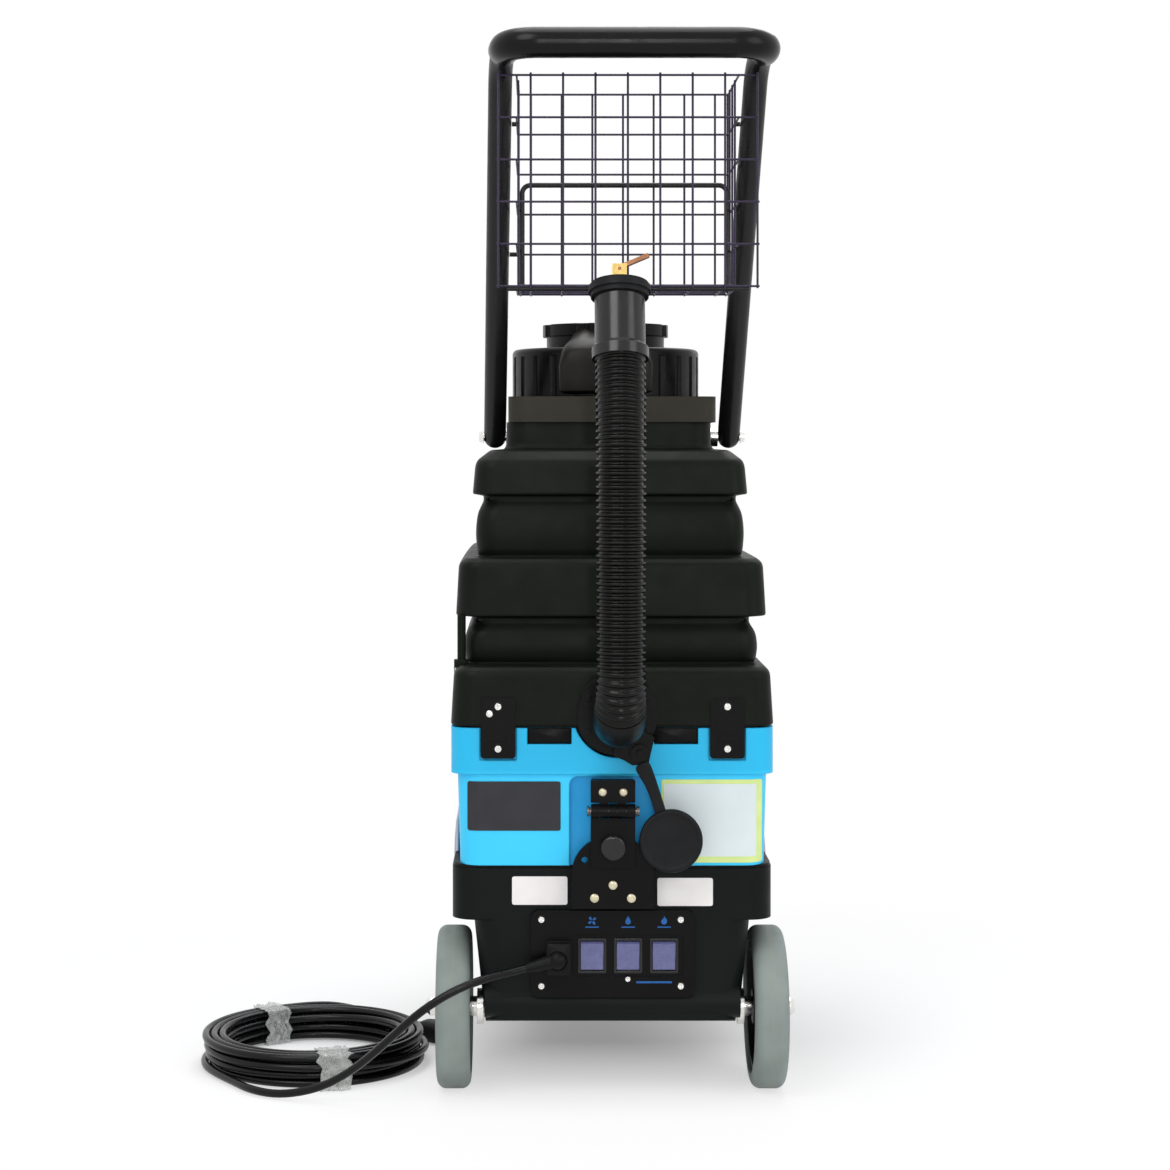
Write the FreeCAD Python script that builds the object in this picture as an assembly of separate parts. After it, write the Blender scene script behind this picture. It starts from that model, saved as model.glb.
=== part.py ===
import FreeCAD, Part
import math
import os

# A wheeled portable carpet extractor, standing on the floor. Millimetres, +Z up.
# The rear, with hinge, drain hose and switches, faces -Y. The front faces +Y.
# The origin is on the floor, at the middle of the machine without its mains cord.

V = FreeCAD.Vector
X_AXIS = V(1, 0, 0)
Y_AXIS = V(0, 1, 0)
Z_AXIS = V(0, 0, 1)
os.makedirs("parts", exist_ok=True)

# General clearances
wall = 4.0
running_gap = 0.05
loose_gap = 0.3
sides = (-1, 1)

# Wheels and rear axle
wheel_r = 76.2
tyre_width = 32.0
tyre_depth = 14.0
hub_width = 26.0
wheel_x = 148.5
axle_y = -104.0
axle_r = 6.35
axle_housing_r = 14.0
washer_r = 17.0
washer_t = 6.0
spacer_r = 9.5
cap_r = 9.0
cap_out = 14.0

# Base housing
base_rear_y = -169.0
base_front_y = 284.0
base_bottom_z = 78.0
base_step_z = 171.0
base_top_z = 219.0
base_floor_z = 92.0
base_upper_half = 149.0
base_lower_half = 129.0
base_foot_half = 119.0
base_front_rake = 14.0
base_corner_r = 22.0
bulge_r = 15.0
bulge_proud = 3.0
seal_t = 3.0
seal_w = 10.0

# Casters
caster_x = 84.0
caster_y = 222.0
caster_r = 27.5
caster_w = 22.0
caster_trail = 18.0
caster_plate_t = 3.0
fork_wall = 3.0
caster_axle_r = 4.0

# Control panel and switches
panel_half = 76.0
panel_bottom_z = 100.0
panel_top_z = 181.0
panel_t = 6.0
panel_corner_r = 8.0
rocker_w = 21.0
rocker_h = 27.0
rocker_pitch = 33.3
rocker_first_x = -19.0
rocker_z = 139.0
rocker_tilt = 8.0
bezel_rim = 2.6
bezel_t = 1.6
bezel_depth = 22.0
panel_screw_r = 3.6

# Mains cord
cord_r = 3.8
coil_x = -290.0
coil_y = -14.0
coil_lift = 1.2
coil_loop_r = 110.2
coil_step = 8.2
coil_layers = 4
coil_start_deg = 215.0
coil_sweep_deg = 4065.0
tail_deg = 60.0
tail_out = 22.0
plug_lie_z = 11.3
tie_w = 9.0
tie_t = 0.6

# Solution tank
solution_rear_y = -174.0
solution_front_y = 276.0
solution_half = 144.0
flange_half = 150.0
flange_proud = 2.5
solution_step_z = 307.0
solution_top_z = 350.0
solution_corner_r = 20.0
recess_depth = 5.0

# Recovery tank, from the lowest band to the neck
seat_t = 2.0
band_c_half = 150.5
band_c_rear_y = -179.0
band_c_front_y = 276.0
band_c_top_z = 402.0
belly_2_half = 139.0
belly_2_rear_y = -141.0
belly_2_front_y = 250.0
belly_2_top_z = 441.0
band_b_bottom_z = 452.0
band_b_half = 147.0
band_b_rear_y = -145.0
band_b_front_y = 254.0
band_b_top_z = 501.0
belly_1_half = 129.0
belly_1_rear_y = -111.0
belly_1_front_y = 220.0
belly_1_top_z = 555.0
band_a_bottom_z = 566.0
band_a_half = 132.0
band_a_rear_y = -115.0
band_a_front_y = 224.0
band_a_top_z = 598.0
neck_half = 100.0
neck_rear_y = -69.0
neck_front_y = 184.0
neck_top_z = 634.0
band_flare = 3.0
band_corner_r = 20.0
groove_in = 4.0
recovery_wall = 5.0

# Deck collar, lid and cap
collar_x = 3.0
collar_half = 101.0
collar_rear_y = -74.0
collar_front_y = 189.0
collar_t = 25.0
lid_y = 62.0
lid_r = 95.0
lid_h = 49.0
lid_flutes = 26
mouth_r = 76.0
spout_r = 82.0
spout_h = 30.0
gasket_t = 3.0
cap_lid_r = 64.0
cap_lid_h = 24.0
cap_lobes = 8

# Handle
pivot_y = 30.0
pivot_z = 620.0
handle_x = 5.5
handle_half = 118.0
handle_drift = 9.0
grip_shift = 7.0
handle_lean = 32.5
tube_r = 11.1
tube_wall = 1.6
bend_z = 968.0
bend_r = 56.0
grip_y = -256.0
grip_z = 971.0
grip_corner_r = 30.0
grip_r = 14.0
pivot_pin_r = 4.0
bolt_head_r = 6.5

# Wire basket
basket_x = 13.0
basket_rear_y = -204.0
basket_front_y = -79.0
basket_floor_z = 757.0
basket_rows = 5
basket_pitch_x = 29.6
basket_pitch_z = 38.6
basket_cells = 8
basket_wire_r = 1.1
side_half = 101.0
support_rod_r = 2.4
support_top_z = 858.0

# Drain hose
hose_x = 4.0
port_z = 363.0
port_flange_r = 37.0
port_flange_t = 6.0
hose_crest_r = 22.5
hose_valley_r = 20.3
hose_bore_r = 18.0
hose_pitch = 6.1
hose_rear_y = -282.0
hose_end_run = 45.0
hose_low_bend_r = 50.0
hose_lean = 16.0
hose_lean_r = 200.0
hose_lean_z = 599.0
cuff_r = 22.6
cuff_socket_r = 25.4
cuff_skirt = 10.0
cuff_length = 58.0
plug_lip_r = 28.0
plug_lip_t = 13.0
plug_cone_h = 24.0
stem_r = 4.6
stem_h = 18.0

# Rubber cap on its strap
cap_hang_x = 53.0
cap_hang_z = 248.5
cap_disc_r = 29.0
strap_y = -193.5
strap_w = 15.0
strap_t = 3.0
eyelet_x = 24.0
eyelet_z = 329.0
eyelet_r = 8.0
strap_bend_z = eyelet_z - eyelet_r - strap_t / 2 - loose_gap

# Rear hinge
hinge_x = 0.0
hinge_y = -189.0
hinge_z = 275.0
hinge_pin_r = 3.5
hinge_knuckle_r = 6.5
leaf_half = 20.5
leaf_t = 3.0
hinge_plate_half = 38.0
knob_z = 242.0
knob_r = 11.5

# Parts inside the base
motor_y = 70.0
motor_r = 68.0
fan_r = 56.0
fan_shaft_r = 4.0


def save(shape, node):
    """Write one sub-part to its own STEP file."""
    shape.exportStep("parts/" + node + ".step")
    print(node, len(shape.Solids), round(shape.Volume), shape.isValid())


def box(x0, x1, y0, y1, z0, z1):
    """A box between two corners."""
    return Part.makeBox(x1 - x0, y1 - y0, z1 - z0, V(x0, y0, z0))


def cyl(radius, height, base, axis):
    """A round bar from its base point along its axis."""
    return Part.makeCylinder(radius, height, base, axis)


def tube(outer_r, inner_r, height, base, axis):
    """A round tube, open at both ends."""
    return cyl(outer_r, height, base, axis).cut(cyl(inner_r, height, base, axis))


def cone(radius_0, radius_1, height, base, axis):
    """A tapered round bar."""
    return Part.makeCone(radius_0, radius_1, height, base, axis)


def rounded_wire(x0, x1, y0, y1, z, radius):
    """A rectangle with round corners at one height: four lines and four arcs."""
    k = radius * (1 - math.sqrt(0.5))
    lines = [
        (V(x0 + radius, y0, z), V(x1 - radius, y0, z)),
        (V(x1, y0 + radius, z), V(x1, y1 - radius, z)),
        (V(x1 - radius, y1, z), V(x0 + radius, y1, z)),
        (V(x0, y1 - radius, z), V(x0, y0 + radius, z)),
    ]
    middles = [V(x1 - k, y0 + k, z), V(x1 - k, y1 - k, z), V(x0 + k, y1 - k, z), V(x0 + k, y0 + k, z)]
    edges = []
    for number in range(4):
        start, end = lines[number]
        following = lines[(number + 1) % 4][0]
        edges.append(Part.LineSegment(start, end).toShape())
        edges.append(Part.Arc(end, middles[number], following).toShape())
    return Part.Wire(edges)


def slab(x0, x1, y0, y1, z0, z1, radius):
    """A plate lying flat, with round upright corners."""
    return Part.Face(rounded_wire(x0, x1, y0, y1, z0, radius)).extrude(V(0, 0, z1 - z0))


def upright_plate(x0, x1, z0, z1, y0, y1, radius):
    """A plate standing across Y, with round corners seen from the rear."""
    flat = Part.Face(rounded_wire(x0, x1, z0, z1, 0, radius)).extrude(V(0, 0, y1 - y0))
    flat.rotate(V(0, 0, 0), X_AXIS, 90)
    flat.translate(V(0, y1, 0))
    return flat


def loft(wires):
    """A ruled solid through a stack of outlines."""
    return Part.makeLoft(wires, True, True)


def arc_path(points, radii):
    """Straight runs through the points, each corner rounded by a tangent arc."""
    edges = []
    start = points[0]
    for number in range(1, len(points) - 1):
        corner = points[number]
        back = (points[number - 1] - corner).normalize()
        ahead = (points[number + 1] - corner).normalize()
        turn = math.pi - back.getAngle(ahead)
        reach = radii[number - 1] * math.tan(turn / 2)
        first = corner + back * reach
        last = corner + ahead * reach
        inward = (back + ahead).normalize()
        middle = corner + inward * (radii[number - 1] / math.cos(turn / 2) - radii[number - 1])
        edges.append(Part.LineSegment(start, first).toShape())
        edges.append(Part.Arc(first, middle, last).toShape())
        start = last
    edges.append(Part.LineSegment(start, points[-1]).toShape())
    return Part.Wire(edges)


def pipe(path, radius):
    """A round bar swept along a path."""
    start = path.Edges[0].valueAt(path.Edges[0].FirstParameter)
    heading = path.Edges[0].tangentAt(path.Edges[0].FirstParameter)
    ring = Part.Wire([Part.Circle(start, heading, radius).toShape()])
    return path.makePipeShell([ring], True, False)


def fuse_all(shapes):
    """One solid, or one group of solids, from several."""
    result = shapes[0]
    for shape in shapes[1:]:
        result = result.fuse(shape)
    return result.removeSplitter()


def group(shapes):
    """Separate solids that share one node."""
    return Part.makeCompound(shapes)


def screw_head(x, y, z, radius, proud):
    """A pan-head screw seen from the rear, with a cross recess, its head out along -Y."""
    head = cone(radius, radius * 0.75, proud, V(x, y, z), V(0, -1, 0))
    for angle in (0, 90):
        slot = box(-radius * 0.55, radius * 0.55, -proud * 0.6, 0, -radius * 0.12, radius * 0.12)
        slot.rotate(V(0, 0, 0), Y_AXIS, angle)
        slot.translate(V(x, y - proud * 0.4, z))
        head = head.cut(slot)
    return head


# Base housing: an open-topped moulding whose lower part is narrower than its upper part
def base_housing():
    foot = rounded_wire(-base_foot_half, base_foot_half, base_rear_y, base_front_y - base_front_rake,
                        base_bottom_z, base_corner_r)
    step = rounded_wire(-base_lower_half, base_lower_half, base_rear_y, base_front_y,
                        base_step_z, base_corner_r)
    lower = loft([foot, step])
    upper = slab(-base_upper_half, base_upper_half, base_rear_y, base_front_y,
                 base_step_z, base_top_z, base_corner_r)
    bulge_y = base_rear_y - bulge_proud + bulge_r
    bulge = cyl(bulge_r, 2 * base_foot_half, V(-base_foot_half, bulge_y, base_bottom_z + bulge_r), X_AXIS)
    axle_tube = cyl(axle_housing_r, 2 * base_foot_half, V(-base_foot_half, axle_y, wheel_r), X_AXIS)
    body = fuse_all([lower, upper, bulge, axle_tube])

    inner_half = base_foot_half - wall - bulge_r / 2
    inner_rear = base_rear_y + wall
    well = slab(-inner_half, inner_half, inner_rear, base_front_y - base_front_rake - wall,
                base_floor_z, base_step_z, base_corner_r - wall)
    hall = slab(-base_upper_half + wall, base_upper_half - wall, inner_rear, base_front_y - wall,
                base_step_z + wall, base_top_z, base_corner_r - wall)
    hall_opening = slab(-inner_half, inner_half, inner_rear, base_front_y - base_front_rake - wall,
                        base_step_z, base_step_z + wall, base_corner_r - wall)
    body = body.cut(well).cut(hall_opening).cut(hall)

    axle_bore = cyl(axle_r + loose_gap, 2 * base_lower_half, V(-base_lower_half, axle_y, wheel_r), X_AXIS)
    seat = upright_plate(-panel_half, panel_half, panel_bottom_z, panel_top_z,
                         base_rear_y - panel_t, base_rear_y, panel_corner_r)
    window_x0 = rocker_first_x - rocker_w / 2 - 2.5
    window_x1 = rocker_first_x + 2 * rocker_pitch + rocker_w / 2 + 2.5
    window = box(window_x0, window_x1, base_rear_y, inner_rear,
                 rocker_z - rocker_h / 2 - 2.5, rocker_z + rocker_h / 2 + 2.5)
    coupler_hole = cyl(coupler_r + loose_gap, wall + base_front_rake,
                       V(coupler_x, base_front_y - wall - base_front_rake, coupler_z), Y_AXIS)
    body = body.cut(axle_bore).cut(seat).cut(window).cut(coupler_hole)
    for number in range(9):
        slot_x = -96 + number * 24
        slot = box(slot_x, slot_x + 12, base_front_y - wall - 1, base_front_y + 1, 182, 190)
        body = body.cut(slot)
    return body.removeSplitter()


coupler_r = 9.0
coupler_x = 60.0
coupler_z = 198.0


def base_seal():
    outer = slab(-base_upper_half + 1, base_upper_half - 1, base_rear_y + 1, base_front_y - 1,
                 base_top_z, base_top_z + seal_t, base_corner_r - 1)
    inner = slab(-base_upper_half + seal_w, base_upper_half - seal_w, base_rear_y + seal_w,
                 base_front_y - seal_w, base_top_z, base_top_z + seal_t, base_corner_r - seal_w)
    return outer.cut(inner)


save(base_housing(), "base_housing")
save(base_seal(), "base_seal")


# Rear axle with its washers, spacers and cap nuts
washer_x = base_foot_half + 2.0


def rear_axle():
    half = wheel_x + hub_width / 2 + cap_out
    return cyl(axle_r, 2 * half - 8, V(-half + 4, axle_y, wheel_r), X_AXIS)


def axle_rings(radius, start, thickness, bore_r):
    """The same ring on both ends of the axle."""
    pieces = []
    for side in sides:
        pieces.append(tube(radius, bore_r, thickness, V(side * start, axle_y, wheel_r), V(side, 0, 0)))
    return pieces


def axle_caps():
    start = wheel_x + hub_width / 2 + loose_gap
    pieces = []
    for side in sides:
        middle = V(side * start, axle_y, wheel_r)
        cap = cyl(cap_r, cap_out - 4, middle, V(side, 0, 0))
        crown_start = V(side * (start + cap_out - 4), axle_y, wheel_r)
        crown = cone(cap_r, cap_r * 0.6, 4, crown_start, V(side, 0, 0))
        bore = cyl(axle_r + loose_gap, cap_out - 3.5, middle, V(side, 0, 0))
        pieces.append(cap.fuse(crown).cut(bore).removeSplitter())
    return pieces


def wheel_hub():
    """A spoked plastic hub, its axis along X, its middle at the origin."""
    rim_r = wheel_r - tyre_depth
    rim = tube(rim_r, rim_r - 7, hub_width, V(-hub_width / 2, 0, 0), X_AXIS)
    boss = cyl(16, hub_width, V(-hub_width / 2, 0, 0), X_AXIS)
    disc = cyl(rim_r - 3, 6, V(-3, 0, 0), X_AXIS)
    hub = rim.fuse(disc).fuse(boss)
    for number in range(6):
        spoke = box(-9, 9, -3, 3, 12, rim_r - 4)
        spoke.rotate(V(0, 0, 0), X_AXIS, number * 60)
        hub = hub.fuse(spoke)
    hub = hub.cut(cyl(axle_r + running_gap, hub_width + 2, V(-hub_width / 2 - 1, 0, 0), X_AXIS))
    return hub.removeSplitter()


def wheel_tyre():
    """A solid tyre with round shoulders and a faint centre line."""
    inner_r = wheel_r - tyre_depth
    half = tyre_width / 2
    shoulder = 9.0
    k = shoulder * (1 - math.sqrt(0.5))
    points = [V(-half, 0, inner_r + loose_gap), V(-half, 0, wheel_r - shoulder),
              V(-half + shoulder, 0, wheel_r),
              V(half - shoulder, 0, wheel_r), V(half, 0, wheel_r - shoulder), V(half, 0, inner_r + loose_gap)]
    edges = [
        Part.LineSegment(points[0], points[1]).toShape(),
        Part.Arc(points[1], V(-half + k, 0, wheel_r - k), points[2]).toShape(),
        Part.LineSegment(points[2], points[3]).toShape(),
        Part.Arc(points[3], V(half - k, 0, wheel_r - k), points[4]).toShape(),
        Part.LineSegment(points[4], points[5]).toShape(),
        Part.LineSegment(points[5], points[0]).toShape(),
    ]
    return Part.Face(Part.Wire(edges)).revolve(V(0, 0, 0), X_AXIS, 360)


save(rear_axle(), "rear_axle")
spacer_start = washer_x + washer_t
spacer_length = wheel_x - hub_width / 2 - loose_gap - spacer_start
washers = axle_rings(washer_r, washer_x, washer_t, axle_r + loose_gap)
spacers = axle_rings(spacer_r, spacer_start, spacer_length, axle_r + loose_gap)
save(group(washers + spacers + axle_caps()), "axle_hardware")
for side, word in ((-1, "left"), (1, "right")):
    place = V(side * wheel_x, axle_y, wheel_r)
    hub = wheel_hub()
    hub.translate(place)
    save(hub, word + "_wheel_hub")
    tyre = wheel_tyre()
    tyre.translate(place)
    save(tyre, word + "_wheel_tyre")


# Front casters: plate, fork, axle and wheel
def caster_plate(x):
    plate = slab(x - 30, x + 30, caster_y - 26, caster_y + 26,
                 base_bottom_z - caster_plate_t, base_bottom_z, 5)
    race = cyl(15, 5, V(x, caster_y, base_bottom_z - caster_plate_t - 5), Z_AXIS)
    pin = cyl(5, 12, V(x, caster_y, base_bottom_z - caster_plate_t - 12), Z_AXIS)
    return fuse_all([plate, race, pin])


fork_top_z = base_bottom_z - caster_plate_t - 5 - loose_gap


def caster_fork(x):
    crown_t = fork_wall + 2
    cheek = caster_w / 2 + 1.5
    axle_line = caster_y + caster_trail
    crown = box(x - cheek - fork_wall, x + cheek + fork_wall, caster_y - 14, axle_line + 6,
                fork_top_z - crown_t, fork_top_z)
    fork = crown
    for side in sides:
        inner = x + side * cheek
        outer = x + side * (cheek + fork_wall)
        low, high = min(inner, outer), max(inner, outer)
        leg = box(low, high, axle_line - 9, axle_line + 9, caster_r, fork_top_z - crown_t)
        foot = cyl(9, fork_wall, V(low, axle_line, caster_r), X_AXIS)
        gusset = box(low, high, caster_y - 10, axle_line, fork_top_z - crown_t - 9, fork_top_z - crown_t)
        fork = fork.fuse(leg).fuse(foot).fuse(gusset)
    fork = fork.cut(cyl(5 + running_gap, 20, V(x, caster_y, fork_top_z - 14), Z_AXIS))
    fork = fork.cut(cyl(caster_axle_r + loose_gap, 60, V(x - 30, axle_line, caster_r), X_AXIS))
    return fork.removeSplitter()


def caster_axle(x):
    length = caster_w + 3 + 2 * fork_wall + 6
    return cyl(caster_axle_r, length, V(x - length / 2, caster_y + caster_trail, caster_r), X_AXIS)


def caster_wheel(x):
    middle = V(x - caster_w / 2, caster_y + caster_trail, caster_r)
    wheel = cyl(caster_r, caster_w, middle, X_AXIS)
    rims = [edge for edge in wheel.Edges if edge.Closed and edge.Curve.TypeId == "Part::GeomCircle"]
    wheel = wheel.makeFillet(4, rims)
    return wheel.cut(cyl(caster_axle_r + running_gap, caster_w, middle, X_AXIS))


save(group([caster_plate(side * caster_x) for side in sides]), "caster_plates")
for side, word in ((-1, "left"), (1, "right")):
    save(group([caster_fork(side * caster_x), caster_axle(side * caster_x)]), word + "_caster_fork")
    save(caster_wheel(side * caster_x), word + "_caster_wheel")


# Control panel, its bezels, rockers and screws
panel_face_y = base_rear_y - panel_t
rocker_places = [rocker_first_x + number * rocker_pitch for number in range(3)]
rocker_pivot_y = panel_face_y + 4.0
rocker_sweep_r = rocker_h / 2


def control_panel():
    plate = upright_plate(-panel_half + loose_gap, panel_half - loose_gap, panel_bottom_z + loose_gap,
                          panel_top_z - loose_gap, panel_face_y, base_rear_y, panel_corner_r - loose_gap)
    tray_x0 = rocker_first_x - rocker_w / 2 - 7
    tray_x1 = rocker_places[2] + rocker_w / 2 + 7
    tray = upright_plate(tray_x0, tray_x1, rocker_z - rocker_h / 2 - 6, rocker_z + rocker_h / 2 + 6,
                         panel_face_y - 1, panel_face_y + 1, 4)
    plate = plate.cut(tray)
    for x in rocker_places:
        hole = box(x - rocker_w / 2 - 1.6, x + rocker_w / 2 + 1.6, panel_face_y, base_rear_y + 1,
                   rocker_z - rocker_h / 2 - 1.6, rocker_z + rocker_h / 2 + 1.6)
        plate = plate.cut(hole)
    return plate


def switch_bezel(x):
    half_w = rocker_w / 2
    half_h = rocker_h / 2
    front_y = panel_face_y + 1
    rim = upright_plate(x - half_w - bezel_rim, x + half_w + bezel_rim, rocker_z - half_h - bezel_rim,
                        rocker_z + half_h + bezel_rim, front_y - bezel_t, front_y, 1.5)
    case = box(x - half_w - 1.3, x + half_w + 1.3, front_y, front_y + bezel_depth,
               rocker_z - half_h - 1.3, rocker_z + half_h + 1.3)
    pocket = box(x - half_w - loose_gap, x + half_w + loose_gap, front_y - bezel_t, front_y + bezel_depth - 3,
                 rocker_z - half_h - loose_gap, rocker_z + half_h + loose_gap)
    return rim.fuse(case).cut(pocket).removeSplitter()


def rocker(x):
    """A two-sided button on a pivot along X, resting with its lower half pressed in."""
    drum = cyl(rocker_sweep_r, rocker_w, V(x - rocker_w / 2, rocker_pivot_y, rocker_z), X_AXIS)
    keep_back = box(x - rocker_w, x + rocker_w, rocker_pivot_y - 6.5, rocker_pivot_y + 2.5,
                    rocker_z - rocker_h, rocker_z + rocker_h)
    button = drum.common(keep_back)
    dish = cyl(60, rocker_w + 2, V(x - rocker_w / 2 - 1, rocker_pivot_y - 64.2, rocker_z), X_AXIS)
    button = button.cut(dish)
    button.rotate(V(x, rocker_pivot_y, rocker_z), X_AXIS, rocker_tilt)
    return button


def panel_screws():
    places = [(-66, 172.5), (63, 172.5), (-66, 111), (63, 111)]
    heads = [screw_head(x, panel_face_y, z, panel_screw_r, 1.8) for x, z in places]
    heads.append(screw_head(14, panel_face_y, 117.5, panel_screw_r * 0.85, 1.6))
    return heads


save(control_panel(), "control_panel")
save(group([switch_bezel(x) for x in rocker_places]), "switch_bezels")
for x, word in zip(rocker_places, ("left", "middle", "right")):
    save(rocker(x), word + "_rocker")


# Rear hinge between the base and the tanks, its pin along X
leaf_rear_y = hinge_y + 2.0
leaf_front_y = leaf_rear_y + leaf_t
plate_front_y = leaf_front_y + 5.0


def hinge_base_plate():
    """A plate on the base whose shoulders round in to the leaf."""
    points = [V(-hinge_plate_half, 0, 184), V(hinge_plate_half, 0, 184), V(hinge_plate_half, 0, 214),
              V(leaf_half, 0, 246), V(-leaf_half, 0, 246), V(-hinge_plate_half, 0, 214)]
    edges = [Part.LineSegment(points[0], points[1]).toShape(),
             Part.LineSegment(points[1], points[2]).toShape(),
             Part.Arc(points[2], V(33.5, 0, 233), points[3]).toShape(),
             Part.LineSegment(points[3], points[4]).toShape(),
             Part.Arc(points[4], V(-33.5, 0, 233), points[5]).toShape(),
             Part.LineSegment(points[5], points[0]).toShape()]
    plate = Part.Face(Part.Wire(edges)).extrude(V(0, plate_front_y - leaf_front_y, 0))
    plate.translate(V(hinge_x, leaf_front_y, 0))
    pad = upright_plate(hinge_x - 30, hinge_x + 30, 187, base_top_z - 4, plate_front_y, base_rear_y, 4)
    plate = plate.fuse(pad)
    plate = plate.cut(cyl(3, 6, V(hinge_x - 26, leaf_front_y - 0.5, 229), Y_AXIS))
    return plate.removeSplitter()


def knuckle(x0, x1):
    return cyl(hinge_knuckle_r, x1 - x0, V(x0, hinge_y, hinge_z), X_AXIS)


def knuckle_spans(first):
    """Every other fifth of the hinge's width, with a little play between them."""
    pitch = 2 * leaf_half / 5
    spans = []
    for number in range(first, 5, 2):
        start = hinge_x - leaf_half + number * pitch
        spans.append((start + loose_gap / 2, start + pitch - loose_gap / 2))
    return spans


def hinge_lower_leaf():
    leaf = box(hinge_x - leaf_half, hinge_x + leaf_half, leaf_rear_y, leaf_front_y, 222, hinge_z)
    keep = [knuckle(x0, x1) for x0, x1 in knuckle_spans(0)]
    for x0, x1 in knuckle_spans(1):
        leaf = leaf.cut(box(x0 - loose_gap, x1 + loose_gap, leaf_rear_y - 1, leaf_front_y + 1,
                            hinge_z - hinge_knuckle_r - 1, hinge_z + 1))
    leaf = fuse_all([leaf] + keep)
    return leaf.cut(cyl(hinge_pin_r + running_gap, 50, V(hinge_x - 25, hinge_y, hinge_z), X_AXIS))


def hinge_upper_leaf():
    leaf = box(hinge_x - leaf_half, hinge_x + leaf_half, leaf_rear_y, leaf_front_y, hinge_z, 303)
    pad = box(hinge_x - leaf_half + 1, hinge_x + leaf_half - 1, leaf_front_y,
              solution_rear_y + recess_depth, 284, 302)
    keep = [knuckle(x0, x1) for x0, x1 in knuckle_spans(1)]
    for x0, x1 in knuckle_spans(0):
        leaf = leaf.cut(box(x0 - loose_gap, x1 + loose_gap, leaf_rear_y - 1, leaf_front_y + 1,
                            hinge_z - 1, hinge_z + hinge_knuckle_r + 1))
    leaf = fuse_all([leaf, pad] + keep)
    return leaf.cut(cyl(hinge_pin_r + loose_gap, 50, V(hinge_x - 25, hinge_y, hinge_z), X_AXIS))


def hinge_pin():
    length = 2 * leaf_half + 3
    pin = cyl(hinge_pin_r, length, V(hinge_x - length / 2, hinge_y, hinge_z), X_AXIS)
    heads = [cyl(hinge_pin_r + 1.2, 2, V(hinge_x + side * length / 2, hinge_y, hinge_z), V(side, 0, 0))
             for side in sides]
    return fuse_all([pin] + heads)


def latch_knob():
    """A round knob on a short spindle through the lower leaf."""
    knob = cyl(knob_r, 10, V(hinge_x, leaf_rear_y - 1, knob_z), V(0, -1, 0))
    rims = [edge for edge in knob.Edges if edge.Closed and edge.Curve.TypeId == "Part::GeomCircle"
            and edge.BoundBox.YMax < leaf_rear_y - 5]
    knob = knob.makeFillet(2.5, rims)
    spindle = cyl(4, leaf_t + 5, V(hinge_x, leaf_rear_y - 1, knob_z), Y_AXIS)
    return knob.fuse(spindle).removeSplitter()


def hinge_screws():
    low = [(hinge_x, 206), (hinge_x - 17, 194), (hinge_x + 17, 194)]
    return [screw_head(x, leaf_front_y, z, 3.8, 2) for x, z in low]


def upper_leaf_screws():
    places = [(hinge_x - 9.5, 292), (hinge_x + 9.5, 292)]
    return [screw_head(x, leaf_rear_y, z, 3.4, 1.8) for x, z in places]


knob_hole = cyl(4 + running_gap, leaf_t + 6, V(hinge_x, leaf_rear_y - 0.5, knob_z), Y_AXIS)
save(hinge_base_plate().cut(knob_hole), "hinge_base_plate")
save(hinge_lower_leaf().cut(knob_hole), "hinge_lower_leaf")
save(hinge_upper_leaf(), "hinge_upper_leaf")
save(hinge_pin(), "hinge_pin")
save(latch_knob(), "latch_knob")
save(group(panel_screws() + hinge_screws()), "base_screws")


# Inside the base: vacuum motor with its fan, pump, heater, terminal box, and the brass coupler
motor_split_z = base_floor_z + 44


def vacuum_motor():
    lower = cyl(motor_r, 44, V(0, motor_y, base_floor_z), Z_AXIS)
    upper = cyl(46, 56, V(0, motor_y, motor_split_z), Z_AXIS)
    outlet = tube(16, 12, 50, V(40, motor_y + 40, base_floor_z + 22), Y_AXIS)
    motor = lower.fuse(upper).fuse(outlet)
    chamber = cyl(fan_r + 4, 30, V(0, motor_y, base_floor_z + 7), Z_AXIS)
    bearing = cyl(fan_shaft_r + running_gap, 80, V(0, motor_y, base_floor_z + 4), Z_AXIS)
    port = cyl(12, 51, V(40, motor_y + 40, base_floor_z + 22), Y_AXIS)
    return motor.cut(chamber).cut(bearing).cut(port).removeSplitter()


def vacuum_fan():
    shaft = cyl(fan_shaft_r, 76, V(0, motor_y, base_floor_z + 5), Z_AXIS)
    back = cyl(fan_r, 3, V(0, motor_y, base_floor_z + 11), Z_AXIS)
    eye = cyl(14, 20, V(0, motor_y, base_floor_z + 11), Z_AXIS)
    fan = fuse_all([shaft, back, eye])
    for number in range(8):
        blade = box(12, fan_r - 1, -1, 1, base_floor_z + 14, base_floor_z + 30)
        blade.rotate(V(0, 0, 0), Z_AXIS, number * 45)
        blade.translate(V(0, motor_y, 0))
        fan = fan.fuse(blade)
    return fan.removeSplitter()


def solution_pump():
    case = slab(-100, -52, 165, 225, base_floor_z, base_floor_z + 46, 5)
    head = cyl(19, 22, V(-76, 225, base_floor_z + 24), Y_AXIS)
    outlet = cyl(5, 12, V(-76, 236, base_floor_z + 40), Z_AXIS)
    return fuse_all([case, head, outlet])


def heater():
    barrel_z = base_floor_z + 30
    barrel = cyl(24, 96, V(78, -116, barrel_z), Y_AXIS)
    feet = [box(60, 96, y, y + 10, base_floor_z, barrel_z) for y in (-104, -48)]
    ends = [cyl(6, 10, V(78, -126, barrel_z), Y_AXIS), cyl(6, 10, V(78, -20, barrel_z), Y_AXIS)]
    return fuse_all([barrel] + feet + ends)


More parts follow.
